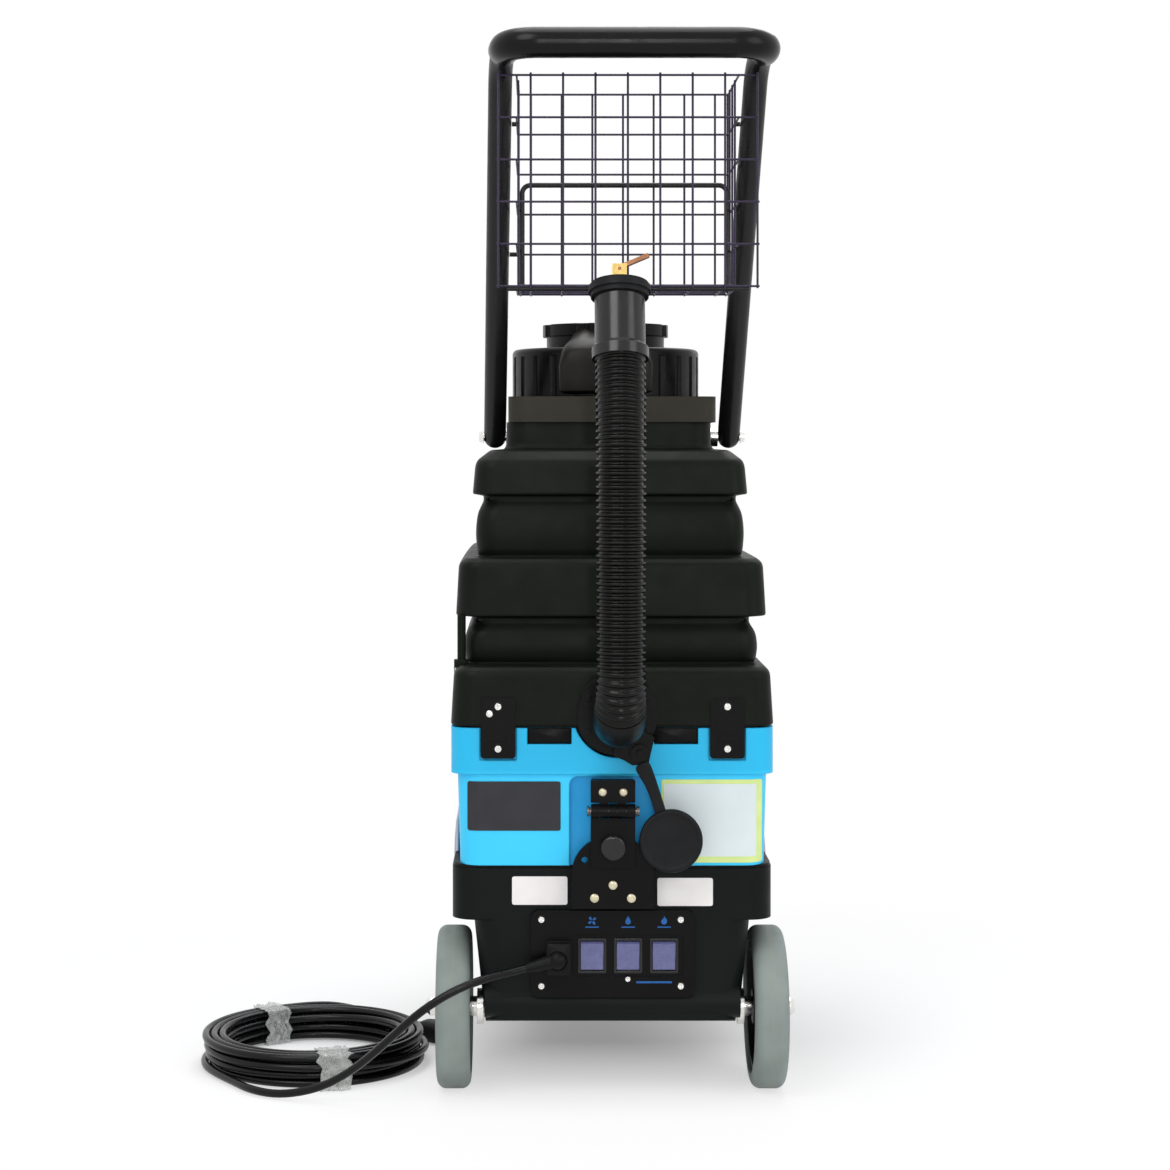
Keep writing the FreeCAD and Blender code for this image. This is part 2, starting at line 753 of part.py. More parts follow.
def terminal_box():
    case = slab(-96, -34, -112, -52, base_floor_z, base_floor_z + 40, 4)
    lid = slab(-94, -36, -110, -54, base_floor_z + 40, base_floor_z + 44, 3)
    return fuse_all([case, lid])


def solution_coupler():
    """A brass plug-in nipple through the base's front wall, with a hexagon outside."""
    start_y = base_front_y - wall - base_front_rake
    barrel = cyl(coupler_r, wall + base_front_rake, V(coupler_x, start_y, coupler_z), Y_AXIS)
    corners = []
    for number in range(7):
        angle = math.radians(60 * number)
        corners.append(V(coupler_x + 12 * math.cos(angle), base_front_y, coupler_z + 12 * math.sin(angle)))
    hexagon = Part.Face(Part.makePolygon(corners)).extrude(V(0, 6, 0))
    nipple = cyl(coupler_nipple_r, coupler_end_y - base_front_y - 6,
                 V(coupler_x, base_front_y + 6, coupler_z), Y_AXIS)
    body = fuse_all([barrel, hexagon, nipple])
    return body.cut(cyl(3, 80, V(coupler_x, start_y - 1, coupler_z), Y_AXIS))


coupler_nipple_r = 7.5
coupler_end_y = 304.5
save(vacuum_motor(), "vacuum_motor")
save(vacuum_fan(), "vacuum_fan")
save(group([solution_pump(), heater()]), "pump_and_heater")
save(terminal_box(), "terminal_box")
save(solution_coupler(), "solution_coupler")


# Mains cord: gland, free lead, coil on the floor, plug and ties
gland_x = -51.0
gland_z = 137.0
gland_y = panel_face_y - 10.0
boot_heading = V(-0.965, -0.13, -0.225).normalize()
boot_length = 30.0
cord_exit = V(gland_x, gland_y, gland_z) + boot_heading * boot_length
floor_cord_z = cord_r + coil_lift


def ease(share):
    """From 0 to 1 with a level start and end."""
    return share * share * (3 - 2 * share)


def coil_point(turned_deg):
    """A point on the coil's centre line: in and out across four layers at a steady rate.

    Past the coil's sweep the tail swings out of the bundle and comes down to the floor.
    """
    turns = min(turned_deg, coil_sweep_deg) / 360
    layer_turns = coil_sweep_deg / 360 / coil_layers
    layer = min(int(turns / layer_turns), coil_layers - 1)
    along = turns - layer * layer_turns
    inward = along if layer % 2 == 0 else layer_turns - along
    radius = coil_loop_r - coil_step * inward
    height = layer
    for border in range(1, coil_layers):
        offset = turns - border * layer_turns
        if abs(offset) <= 0.25:
            height = border - 1 + ease((offset + 0.25) / 0.5)
    rise_z = floor_cord_z + height * coil_step
    if turned_deg > coil_sweep_deg:
        share = (turned_deg - coil_sweep_deg) / tail_deg
        radius += tail_out * ease(min(share / 0.7, 1)) + coil_step * (turned_deg - coil_sweep_deg) / 360
        rise_z -= (rise_z - plug_lie_z) * ease(max((share - 0.25) / 0.75, 0))
    angle = math.radians(coil_start_deg - turned_deg)
    return V(coil_x + radius * math.cos(angle), coil_y + radius * math.sin(angle), rise_z)


def coil_heading(turned_deg):
    step = 0.5
    low = max(turned_deg - step, 0)
    high = min(turned_deg + step, coil_sweep_deg + tail_deg)
    return (coil_point(high) - coil_point(low)).normalize()


def arc_through(start, control, end):
    """The arc from start to end whose end tangents meet at the control point."""
    middle = (start + end) * 0.5
    rise = (control - middle).Length
    half_chord = (start - middle).Length
    if rise < 1e-6 * half_chord:
        return Part.LineSegment(start, end).toShape()
    bow = half_chord * math.tan(math.atan2(rise, half_chord) / 2)
    return Part.Arc(start, middle + (control - middle) * (bow / rise), end).toShape()


def biarc(start, heading_0, end, heading_1):
    """Two tangent arcs that leave start along one heading and reach end along the other."""
    gap = end - start
    a = 2 * (heading_0.dot(heading_1) - 1)
    b = -2 * gap.dot(heading_0 + heading_1)
    c = gap.dot(gap)
    reach = (-b - math.sqrt(b * b - 4 * a * c)) / (2 * a)
    if reach < 0:
        reach = (-b + math.sqrt(b * b - 4 * a * c)) / (2 * a)
    control_0 = start + heading_0 * reach
    control_1 = end - heading_1 * reach
    joint = (control_0 + control_1) * 0.5
    return [arc_through(start, control_0, joint), arc_through(joint, control_1, end)]


def coil_path():
    """Quarter-turn biarcs, shorter ones in the tail, then a straight end one cord diameter long."""
    quarters = round(coil_sweep_deg / 90)
    stops = [coil_sweep_deg * number / quarters for number in range(quarters + 1)]
    stops += [coil_sweep_deg + tail_deg * number / 3 for number in (1, 2, 3)]
    edges = []
    for low, high in zip(stops, stops[1:]):
        edges += biarc(coil_point(low), coil_heading(low), coil_point(high), coil_heading(high))
    end = coil_point(stops[-1])
    edges.append(Part.LineSegment(end, end + coil_heading(stops[-1]) * 2 * cord_r).toShape())
    return Part.Wire(edges)


def least_self_gap(path, spacing):
    """The least distance between parts of a cord that are far apart along it, less its diameter."""
    points = path.discretize(Distance=spacing)
    skip = round(8 * cord_r / spacing)
    least = 1e9
    for first in range(len(points)):
        for second in range(first + skip, len(points)):
            reach = (points[first] - points[second]).Length
            if reach < least:
                least = reach
    return least - 2 * cord_r


coil_start = coil_point(0)
lead_points = [
    cord_exit,
    cord_exit + boot_heading * 16,
    V(-112, -197, 124.5),
    V(-146, -205, 114),
    V(-179, -206, 93),
    V(-209, -194, 63),
    V(-239, -176, 34),
    V(-272, -163, 13),
    V(-309, -155, 4.6),
    V(-339, -139, floor_cord_z),
    coil_start - coil_heading(0) * 34,
    coil_start,
]


def corner_radii(points):
    """Each corner's arc: 0.45 of its shorter run over the tangent of half the turn."""
    radii = []
    for number in range(1, len(points) - 1):
        back = points[number] - points[number - 1]
        ahead = points[number + 1] - points[number]
        shorter = min(back.Length, ahead.Length)
        radii.append(0.45 * shorter / math.tan(back.getAngle(ahead) / 2))
    return radii


lead_radii = corner_radii(lead_points)
lead_path = arc_path(lead_points, lead_radii)
mains_lead = pipe(lead_path, cord_r)
coil_wire = coil_path()
cord_coil = pipe(coil_wire, cord_r)
cord_section = math.pi * cord_r ** 2
print("lead radii", [round(radius, 1) for radius in lead_radii])
print("lead volume over section times length", mains_lead.Volume / (cord_section * lead_path.Length))
print("coil volume over section times length", cord_coil.Volume / (cord_section * coil_wire.Length))
print("cord length", round(lead_path.Length + coil_wire.Length), "least gap in coil",
      round(least_self_gap(coil_wire, 6.0), 2))


def cord_gland():
    """A round nut on the panel and a tapered boot that turns the cord to the left."""
    nut = cyl(11, 4, V(gland_x, panel_face_y, gland_z), V(0, -1, 0))
    body = cyl(9, 14, V(gland_x, panel_face_y, gland_z), V(0, -1, 0))
    dome = Part.makeSphere(9, V(gland_x, gland_y - 1, gland_z))
    boot = cone(7.5, cord_r + 0.8, boot_length, V(gland_x, gland_y, gland_z), boot_heading)
    return fuse_all([nut, body, dome, boot])


def mains_plug():
    """A moulded plug with two flat pins and a round one, square to the cord's end."""
    end = coil_wire.Edges[-1]
    start = end.valueAt(end.LastParameter)
    heading = end.tangentAt(end.LastParameter)
    neck = cone(5, 9, 14, V(0, 0, 0), Z_AXIS)
    body = slab(-12.5, 12.5, -11, 11, 14, 40, 6)
    pins = [box(side * 6.4 - 0.8, side * 6.4 + 0.8, -3, 3.2, 39, 57) for side in sides]
    pins.append(cyl(2.4, 18, V(0, -7, 39), Z_AXIS))
    plug = fuse_all([neck, body] + pins)
    across = Z_AXIS.cross(heading)
    plug.Placement = FreeCAD.Placement(start, FreeCAD.Rotation(across, Z_AXIS, heading, "ZYX"))
    return plug


def cord_ties():
    """Two thin bands round the whole bundle."""
    inner = coil_loop_r - coil_step * coil_sweep_deg / 360 / coil_layers - cord_r - 1
    outer = coil_loop_r + cord_r + 1
    top = floor_cord_z + (coil_layers - 1) * coil_step + cord_r + 1
    low = coil_lift - 0.3
    bands = []
    for angle in (122, 292):
        band = box(inner - tie_t, outer + tie_t, -tie_w / 2, tie_w / 2, low - tie_t, top + tie_t)
        band = band.cut(box(inner, outer, -tie_w, tie_w, low, top))
        band.rotate(V(0, 0, 0), Z_AXIS, angle)
        band.translate(V(coil_x, coil_y, 0))
        bands.append(band)
    return group(bands)


save(cord_gland(), "cord_gland")
save(mains_lead, "mains_lead")
save(cord_coil, "cord_coil")
save(mains_plug(), "mains_plug")
save(cord_ties(), "cord_ties")


# Blue solution tank: a closed moulding with a flange, a notch round the drain sump and rear recesses
sump_r = port_flange_r + 2.0
sump_end_y = band_c_rear_y + 32.0
fill_x = 0.0
fill_z = 274.0
fill_bore_r = 24.0
fill_neck_r = 28.0
fill_neck_end_y = solution_front_y + 14.0
fill_cap_r = 34.0
fill_cap_end_y = 304.5
tank_draft = 2.3


def solution_tank():
    bottom = base_top_z + seal_t
    low = rounded_wire(-solution_half + tank_draft, solution_half - tank_draft, solution_rear_y + tank_draft,
                       solution_front_y - tank_draft, bottom, solution_corner_r)
    high = rounded_wire(-solution_half, solution_half, solution_rear_y, solution_front_y,
                        solution_step_z, solution_corner_r)
    body = loft([low, high])
    flange = slab(-flange_half, flange_half, solution_rear_y - flange_proud, solution_front_y,
                  solution_step_z, solution_top_z, solution_corner_r)
    outer = body.fuse(flange)

    inner_half = solution_half - tank_draft - wall
    cavity = slab(-inner_half, inner_half, solution_rear_y + tank_draft + wall,
                  solution_front_y - tank_draft - wall, bottom + wall, solution_top_z - wall, 16)
    keep_recess = box(-recess_half - wall, recess_half + wall, solution_rear_y - 5,
                      solution_rear_y + recess_depth + wall, bottom, recess_top_z + wall)
    keep_notch = cyl(sump_r + 1.5 + wall, sump_end_y + 2 + wall - solution_rear_y,
                     V(hose_x, solution_rear_y, port_z), Y_AXIS)
    cavity = cavity.cut(keep_recess).cut(keep_notch)
    outer = outer.cut(cavity)

    recess = upright_plate(-recess_half, recess_half, bottom - 10, recess_top_z,
                           solution_rear_y - 10, solution_rear_y + recess_depth, 8)
    notch = cyl(sump_r + 1.5, sump_end_y + 2 - solution_rear_y + 10,
                V(hose_x, solution_rear_y - 10, port_z), Y_AXIS)
    outer = outer.cut(recess).cut(notch)
    for side in sides:
        low_x, high_x = sorted((side * 38, side * 79))
        slot = box(low_x, high_x, solution_rear_y - 5, solution_rear_y + 2.5, 335, solution_top_z + 1)
        outer = outer.cut(slot)
        low_x, high_x = sorted((side * bracket_inner_x, side * bracket_outer_x))
        bracket_seat = box(low_x - 1, high_x + 1, solution_rear_y - 5, solution_rear_y,
                           bracket_low_z - 2, solution_top_z + 1)
        outer = outer.cut(bracket_seat)

    neck = cyl(fill_neck_r, fill_neck_end_y - solution_front_y + wall,
               V(fill_x, solution_front_y - wall, fill_z), Y_AXIS)
    bore = cyl(fill_bore_r, 40, V(fill_x, solution_front_y - 20, fill_z), Y_AXIS)
    return outer.fuse(neck).cut(bore).removeSplitter()


recess_half = 40.0
recess_top_z = 305.0
bracket_inner_x = 90.0
bracket_outer_x = 122.0
bracket_low_z = 322.0
bracket_high_z = 378.0
bracket_t = 2.5


def fill_cap():
    """A knurled screw cap over the fill neck."""
    length = fill_cap_end_y - solution_front_y - 1
    cap = cyl(fill_cap_r, length, V(fill_x, solution_front_y + 1, fill_z), Y_AXIS)
    cap = cap.cut(cyl(fill_neck_r + loose_gap, fill_neck_end_y + loose_gap - solution_front_y - 1,
                      V(fill_x, solution_front_y + 1, fill_z), Y_AXIS))
    for number in range(12):
        angle = math.radians(30 * number)
        groove = cyl(3, length, V(fill_x + (fill_cap_r + 1.4) * math.cos(angle), solution_front_y + 1,
                                  fill_z + (fill_cap_r + 1.4) * math.sin(angle)), Y_AXIS)
        cap = cap.cut(groove)
    return cap


def pickup_tube():
    """A draw tube that stands on the tank's floor."""
    floor_z = base_top_z + seal_t + wall
    foot = cyl(12, 8, V(60, 150, floor_z), Z_AXIS)
    riser = cyl(5, solution_top_z - wall - floor_z, V(60, 150, floor_z), Z_AXIS)
    return fuse_all([foot, riser])


save(solution_tank(), "solution_tank")
save(fill_cap(), "fill_cap")


# Black recovery tank: three flared bands with softer bellies between them, a shoulder and a neck
def tank_ring(half, rear_y, front_y, z, radius=band_corner_r):
    return rounded_wire(-half, half, rear_y, front_y, z, radius)


def flared_band(half, rear_y, front_y, low_z, high_z, shoulder):
    """A band that widens downward, closed above by a sloping shoulder."""
    rings = [tank_ring(half, rear_y, front_y, low_z),
             tank_ring(half - band_flare, rear_y + band_flare, front_y - band_flare, high_z),
             tank_ring(half - band_flare - shoulder, rear_y + band_flare + shoulder,
                       front_y - band_flare - shoulder, high_z + shoulder * 0.7)]
    return loft(rings)


def belly(half, rear_y, front_y, low_z, high_z):
    """A softer stretch, fullest at its middle."""
    span = high_z - low_z
    swell = 4.5
    rings = []
    for share, draw in ((0, swell), (0.2, swell * 0.3), (0.5, 0), (0.8, swell * 0.3), (1, swell)):
        rings.append(tank_ring(half - draw, rear_y + draw, front_y - draw, low_z + share * span))
    return loft(rings)


def recovery_outer():
    seat = tank_ring(band_c_half - groove_in, band_c_rear_y + groove_in, band_c_front_y - groove_in, 0)
    seat_slab = Part.Face(seat).extrude(V(0, 0, seat_t))
    seat_slab.translate(V(0, 0, solution_top_z))
    band_c = flared_band(band_c_half, band_c_rear_y, band_c_front_y,
                         solution_top_z + seat_t, band_c_top_z, 6)
    belly_2 = belly(belly_2_half, belly_2_rear_y, belly_2_front_y, band_c_top_z, belly_2_top_z)
    groove_2 = slab(-belly_2_half + groove_in, belly_2_half - groove_in, belly_2_rear_y + groove_in,
                    belly_2_front_y - groove_in, belly_2_top_z - 2, band_b_bottom_z, band_corner_r)
    band_b = flared_band(band_b_half, band_b_rear_y, band_b_front_y, band_b_bottom_z, band_b_top_z, 6)
    belly_1 = belly(belly_1_half, belly_1_rear_y, belly_1_front_y, band_b_top_z, belly_1_top_z)
    groove_1 = slab(-belly_1_half + groove_in, belly_1_half - groove_in, belly_1_rear_y + groove_in,
                    belly_1_front_y - groove_in, belly_1_top_z - 2, band_a_bottom_z, band_corner_r)
    band_a = flared_band(band_a_half, band_a_rear_y, band_a_front_y, band_a_bottom_z, band_a_top_z, 14)
    neck = slab(-neck_half, neck_half, neck_rear_y, neck_front_y, band_a_top_z, neck_top_z, band_corner_r)
    sump = cyl(sump_r, sump_end_y - band_c_rear_y, V(hose_x, band_c_rear_y, port_z), Y_AXIS)
    return fuse_all([seat_slab, band_c, belly_2, groove_2, band_b, belly_1, groove_1, band_a, neck, sump])


def recovery_tank():
    outer = recovery_outer()
    floor_z = solution_top_z + seat_t + recovery_wall
    low_half = belly_2_half - groove_in - recovery_wall
    high_half = belly_1_half - groove_in - recovery_wall
    low_rear = belly_2_rear_y + groove_in + recovery_wall
    high_rear = belly_1_rear_y + groove_in + recovery_wall
    low_front = belly_2_front_y - groove_in - recovery_wall
    high_front = belly_1_front_y - groove_in - recovery_wall
    lower_room = slab(-low_half, low_half, low_rear, low_front, floor_z, band_b_bottom_z + 10, 15)
    upper_room = slab(-high_half, high_half, high_rear, high_front, band_b_bottom_z + 10,
                      band_a_top_z - recovery_wall, 15)
    mouth = cyl(mouth_r, 60, V(0, lid_y, band_a_top_z - recovery_wall - 5), Z_AXIS)
    sump_bore = cyl(hose_bore_r, low_rear + 10 - band_c_rear_y, V(hose_x, band_c_rear_y - 1, port_z), Y_AXIS)
    tank = outer.cut(lower_room).cut(upper_room).cut(mouth).cut(sump_bore)
    tank = tank.cut(cyl(inlet_outer_r + loose_gap, 60, V(0, high_front - 10, inlet_z), Y_AXIS))
    for side in sides:
        hole = cyl(pivot_pin_r + loose_gap, 14, V(side * (neck_half + 1), pivot_y, pivot_z), V(-side, 0, 0))
        tank = tank.cut(hole)
        low_x, high_x = sorted((side * (bracket_inner_x - 1), side * (bracket_outer_x + 1)))
        flat = box(low_x, high_x, band_c_rear_y - 5, band_c_rear_y + 2.5,
                   solution_top_z - 1, bracket_high_z + 2)
        tank = tank.cut(flat)
    return tank.removeSplitter()


inlet_z = 474.0
inlet_bore_r = 19.0
inlet_outer_r = 23.0
inlet_end_y = 294.0


def vacuum_inlet():
    """A round spigot through the front wall for the cleaning hose, with a flange on the wall."""
    inner_y = belly_1_front_y - groove_in - recovery_wall
    spigot = cyl(inlet_outer_r, inlet_end_y - inner_y, V(0, inner_y, inlet_z), Y_AXIS)
    flange = cyl(inlet_outer_r + 8, 4, V(0, band_b_front_y, inlet_z), Y_AXIS)
    bore = cyl(inlet_bore_r, inlet_end_y - inner_y + 2, V(0, inner_y - 1, inlet_z), Y_AXIS)
    return spigot.fuse(flange).cut(bore).removeSplitter()


save(recovery_tank(), "recovery_tank")


# Brackets that tie the two tanks together at the rear, with their screws
def tank_bracket(side):
    low_x, high_x = sorted((side * bracket_inner_x, side * bracket_outer_x))
    lower_y = solution_rear_y
    upper_y = band_c_rear_y + 2.5
    plate = upright_plate(low_x, high_x, bracket_low_z, bracket_high_z,
                          upper_y - bracket_t, upper_y, 3)
    filler = box(low_x + 1, high_x - 1, upper_y, lower_y, bracket_low_z + 1, solution_top_z - 1)
    rib_x = (low_x + high_x) / 2
    rib = box(rib_x - 8, rib_x + 8, upper_y - bracket_t - 1, upper_y - bracket_t, 338, 342)
    return fuse_all([plate, filler, rib])


def bracket_screws():
    heads = []
    for side in sides:
        for z in (331, 370):
            x = side * (bracket_inner_x + bracket_outer_x) / 2
            heads.append(screw_head(x, band_c_rear_y + 2.5 - bracket_t, z, 4, 2))
    return heads


def vent_tube():
    """A thin tube with a foot block, between the ledge of the lowest band and the band above."""
    x = -band_c_half + 9.5
    y = belly_2_rear_y + 3
    foot = slab(x - 7, x + 6, y - 7, y + 7, band_c_top_z - 4, band_c_top_z + 8, 3)
    riser = cyl(4, band_b_bottom_z - band_c_top_z - 2, V(x, y, band_c_top_z + 2), Z_AXIS)
    return fuse_all([foot, riser]).cut(recovery_outer())


save(group([tank_bracket(side) for side in sides]), "tank_brackets")
save(group(bracket_screws() + upper_leaf_screws()), "tank_screws")
save(group([vacuum_inlet(), vent_tube()]), "tank_fittings")


# Inside the recovery tank: a standpipe on the floor, with a float in a cage at its top
pipe_x = -50.0
pipe_y = 40.0
pipe_r = 20.0
pipe_bore_r = 16.0
pipe_top_z = 520.0
float_r = 17.0
float_travel = 22.0


def standpipe():
    floor_z = solution_top_z + seat_t + recovery_wall
    pipe_body = tube(pipe_r, pipe_bore_r, pipe_top_z - floor_z, V(pipe_x, pipe_y, floor_z), Z_AXIS)
    foot = tube(pipe_r + 10, pipe_bore_r, 5, V(pipe_x, pipe_y, floor_z), Z_AXIS)
    return pipe_body.fuse(foot).removeSplitter()


def float_cage():
    """Four upright bars between the pipe's top ring and a ring with a seat for the float."""
    low = tube(pipe_r + 6, 10, 4, V(pipe_x, pipe_y, pipe_top_z), Z_AXIS)
    top_z = pipe_top_z + 4 + 2 * float_r + float_travel
    high = tube(pipe_r + 6, 10, 4, V(pipe_x, pipe_y, top_z), Z_AXIS)
    bars = []
    for number in range(4):
        angle = math.radians(45 + 90 * number)
        bars.append(cyl(2.5, top_z - pipe_top_z, V(pipe_x + (pipe_r + 2.5) * math.cos(angle),
                                                   pipe_y + (pipe_r + 2.5) * math.sin(angle),
                                                   pipe_top_z), Z_AXIS))
    return fuse_all([low, high] + bars)


def float_ball():
    """A ball cut flat below, resting on the lower ring."""
    rest_z = pipe_top_z + 4
    ball = Part.makeSphere(float_r + 1.5, V(pipe_x, pipe_y, rest_z + float_r - 3))
    return ball.common(slab(pipe_x - 30, pipe_x + 30, pipe_y - 30, pipe_y + 30, rest_z, rest_z + 60, 5))


save(group([standpipe(), float_cage(), pickup_tube()]), "tank_pipes")
save(float_ball(), "float_ball")


# Deck collar on the neck, with the spout that the lid closes
lid_rest_z = neck_top_z + collar_t


def deck_collar():
    plate = slab(collar_x - collar_half, collar_x + collar_half, collar_rear_y, collar_front_y,
                 neck_top_z, lid_rest_z, 16)
    spout = cyl(spout_r, spout_h, V(0, lid_y, lid_rest_z), Z_AXIS)
    mouth = cyl(mouth_r, collar_t + spout_h + 2, V(0, lid_y, neck_top_z - 1), Z_AXIS)
    return plate.fuse(spout).cut(mouth).removeSplitter()


def lid_gasket():
    return tube(spout_r, mouth_r, gasket_t, V(0, lid_y, lid_rest_z + spout_h), Z_AXIS)


def lid():
    """A screw lid with broad upright flutes, hollow over the spout, with a short neck on top."""
    base_z = lid_rest_z + 1
    drum = cyl(lid_r, lid_h, V(0, lid_y, base_z), Z_AXIS)
    rim = [edge for edge in drum.Edges if edge.Closed and edge.BoundBox.ZMin > base_z + lid_h - 1
           and edge.Curve.TypeId == "Part::GeomCircle"]
    drum = drum.makeFillet(5, rim)
    for number in range(lid_flutes):
        angle = 2 * math.pi * number / lid_flutes
        flute = cyl(5.5, lid_h - 7, V((lid_r + 3.4) * math.cos(angle), lid_y + (lid_r + 3.4) * math.sin(angle),
                                      base_z - 1), Z_AXIS)
        drum = drum.cut(flute)
    hollow = cyl(spout_r + 1, spout_h + gasket_t - 1, V(0, lid_y, base_z), Z_AXIS)
    neck = cyl(cap_neck_r, 14, V(0, lid_y, base_z + lid_h), Z_AXIS)
    drum = drum.cut(hollow).fuse(neck)
    bore = cyl(cap_neck_r - 5, 60, V(0, lid_y, base_z + lid_h - 30), Z_AXIS)
    return drum.cut(bore).removeSplitter()


def lid_cap():
    """The smaller screw cap, with broad lobes round its rim."""
    base_z = lid_rest_z + 1 + lid_h + 1
    skirt = cyl(cap_lid_r - 4, 12, V(0, lid_y, base_z), Z_AXIS)
    rim = cyl(cap_lid_r, cap_lid_h - 12, V(0, lid_y, base_z + 12), Z_AXIS)
    cap = skirt.fuse(rim)
    for number in range(cap_lobes):
        angle = 2 * math.pi * (number + 0.5) / cap_lobes
        gap = cyl(9, cap_lid_h, V((cap_lid_r + 5) * math.cos(angle), lid_y + (cap_lid_r + 5) * math.sin(angle),
                                  base_z + 12), Z_AXIS)
        cap = cap.cut(gap)
    hollow = cyl(cap_neck_r + loose_gap, 13 + loose_gap, V(0, lid_y, base_z), Z_AXIS)
    return cap.cut(hollow).removeSplitter()


cap_neck_r = 50.0
save(deck_collar(), "deck_collar")
save(lid_gasket(), "lid_gasket")
save(lid(), "lid")
save(lid_cap(), "lid_cap")


# Drain: port on the sump, ribbed hose, cuff, rubber plug with its stem and cam lever
hose_start_y = band_c_rear_y - port_flange_t
hose_tilt = math.radians(hose_lean)
arc_end_y = hose_rear_y + hose_lean_r * (1 - math.cos(hose_tilt))
arc_end_z = hose_lean_z + hose_lean_r * math.sin(hose_tilt)
cuff_foot = V(hose_x, arc_end_y + hose_end_run * math.sin(hose_tilt),
              arc_end_z + hose_end_run * math.cos(hose_tilt))


def along_cuff(shape):
    """Move a piece built upright at the origin to the cuff's foot, leaning with the hose."""
    shape.rotate(V(0, 0, 0), X_AXIS, -hose_lean)
    shape.translate(cuff_foot)
    return shape


def drain_port():
    """A flange on the sump with a collar round the hose's end."""
    flange = cyl(port_flange_r, port_flange_t, V(hose_x, hose_start_y, port_z), Y_AXIS)
    collar = tube(hose_crest_r + 4, hose_crest_r + loose_gap, 10,
                  V(hose_x, hose_start_y - 10, port_z), Y_AXIS)
    bore = cyl(hose_bore_r, port_flange_t + 2, V(hose_x, hose_start_y - 1, port_z), Y_AXIS)
    body = flange.fuse(collar).cut(bore)
    for number in range(6):
        angle = math.radians(30 + 60 * number)
        screw = cyl(2.6, 1.4, V(hose_x + 31.5 * math.cos(angle), hose_start_y,
                                port_z + 31.5 * math.sin(angle)), V(0, -1, 0))
        body = body.fuse(screw)
    lug = cyl(7, port_flange_t, V(eyelet_x, hose_start_y, eyelet_z), Y_AXIS)
    stud = cyl(3, hose_start_y - strap_y + 4, V(eyelet_x, strap_y - 4, eyelet_z), Y_AXIS)
    eyelet = cyl(eyelet_r, strap_t, V(eyelet_x, strap_y - strap_t / 2, eyelet_z), Y_AXIS)
    return body.fuse(lug).fuse(stud).fuse(eyelet).removeSplitter()


def hose_centre(distance):
    """A point on the hose's centre line and its heading, both in the plane of the hose."""
    low_run = hose_start_y - hose_rear_y - hose_low_bend_r
    low_arc = hose_low_bend_r * math.pi / 2
    rise = hose_lean_z - port_z - hose_low_bend_r
    high_arc = hose_lean_r * hose_tilt
    if distance < low_run:
        return V(hose_x, hose_start_y - distance, port_z), V(0, -1, 0)
    distance -= low_run
    if distance < low_arc:
        turn = distance / hose_low_bend_r
        return (V(hose_x, hose_rear_y + hose_low_bend_r * (1 - math.sin(turn)),
                  port_z + hose_low_bend_r * (1 - math.cos(turn))),
                V(0, -math.cos(turn), math.sin(turn)))
    distance -= low_arc
    if distance < rise:
        return V(hose_x, hose_rear_y, port_z + hose_low_bend_r + distance), V(0, 0, 1)
    distance -= rise
    if distance < high_arc:
        turn = distance / hose_lean_r
        return (V(hose_x, hose_rear_y + hose_lean_r * (1 - math.cos(turn)),
                  hose_lean_z + hose_lean_r * math.sin(turn)),
                V(0, math.sin(turn), math.cos(turn)))
    distance -= high_arc
    heading = V(0, math.sin(hose_tilt), math.cos(hose_tilt))
    return V(hose_x, arc_end_y, arc_end_z) + heading * distance, heading


hose_length = (hose_start_y - hose_rear_y - hose_low_bend_r + hose_low_bend_r * math.pi / 2
               + hose_lean_z - port_z - hose_low_bend_r + hose_lean_r * hose_tilt + hose_end_run)
hose_ribs = round(hose_length / hose_pitch)


def hose_ring(distance, radius):
    """One circle square to the hose, its own X axis always along X."""
    middle, heading = hose_centre(min(distance, hose_length - 1e-6))
    circle = Part.Circle(middle, heading, radius)
    circle.XAxis = X_AXIS
    return Part.Wire([circle.toShape()])


def drain_hose():
    """Ribs as a ruled skin through four circles each, with a smooth bore."""
    pitch = hose_length / hose_ribs
    rings = []
    for number in range(hose_ribs):
        start = number * pitch
        for share, radius in ((0, hose_valley_r), (0.22, hose_crest_r), (0.56, hose_crest_r),
                              (0.78, hose_valley_r)):
            rings.append(hose_ring(start + share * pitch, radius))
    rings.append(hose_ring(hose_length, hose_valley_r))
    skin = loft(rings)
    points = [V(hose_x, hose_start_y, port_z), V(hose_x, hose_rear_y, port_z)]
    high_corner_z = hose_lean_z + hose_lean_r * math.tan(hose_tilt / 2)
    points.append(V(hose_x, hose_rear_y, high_corner_z))
    points.append(cuff_foot)
    bore = pipe(arc_path(points, [hose_low_bend_r, hose_lean_r]), hose_bore_r)
    return skin.cut(bore)


def drain_cuff():
    body = cyl(cuff_r, cuff_length - cuff_skirt, V(0, 0, 0), Z_AXIS)
    skirt = cyl(cuff_socket_r, cuff_skirt, V(0, 0, -cuff_skirt), Z_AXIS)
    step = cone(cuff_socket_r, cuff_r, 3, V(0, 0, 0), Z_AXIS)
    cuff = body.fuse(skirt).fuse(step)
    cuff = cuff.cut(cyl(hose_bore_r, cuff_length, V(0, 0, -0.5), Z_AXIS))
    cuff = cuff.cut(cyl(hose_crest_r + loose_gap, cuff_skirt, V(0, 0, -cuff_skirt), Z_AXIS))
    return along_cuff(cuff.removeSplitter())


plug_seat = cuff_length - cuff_skirt


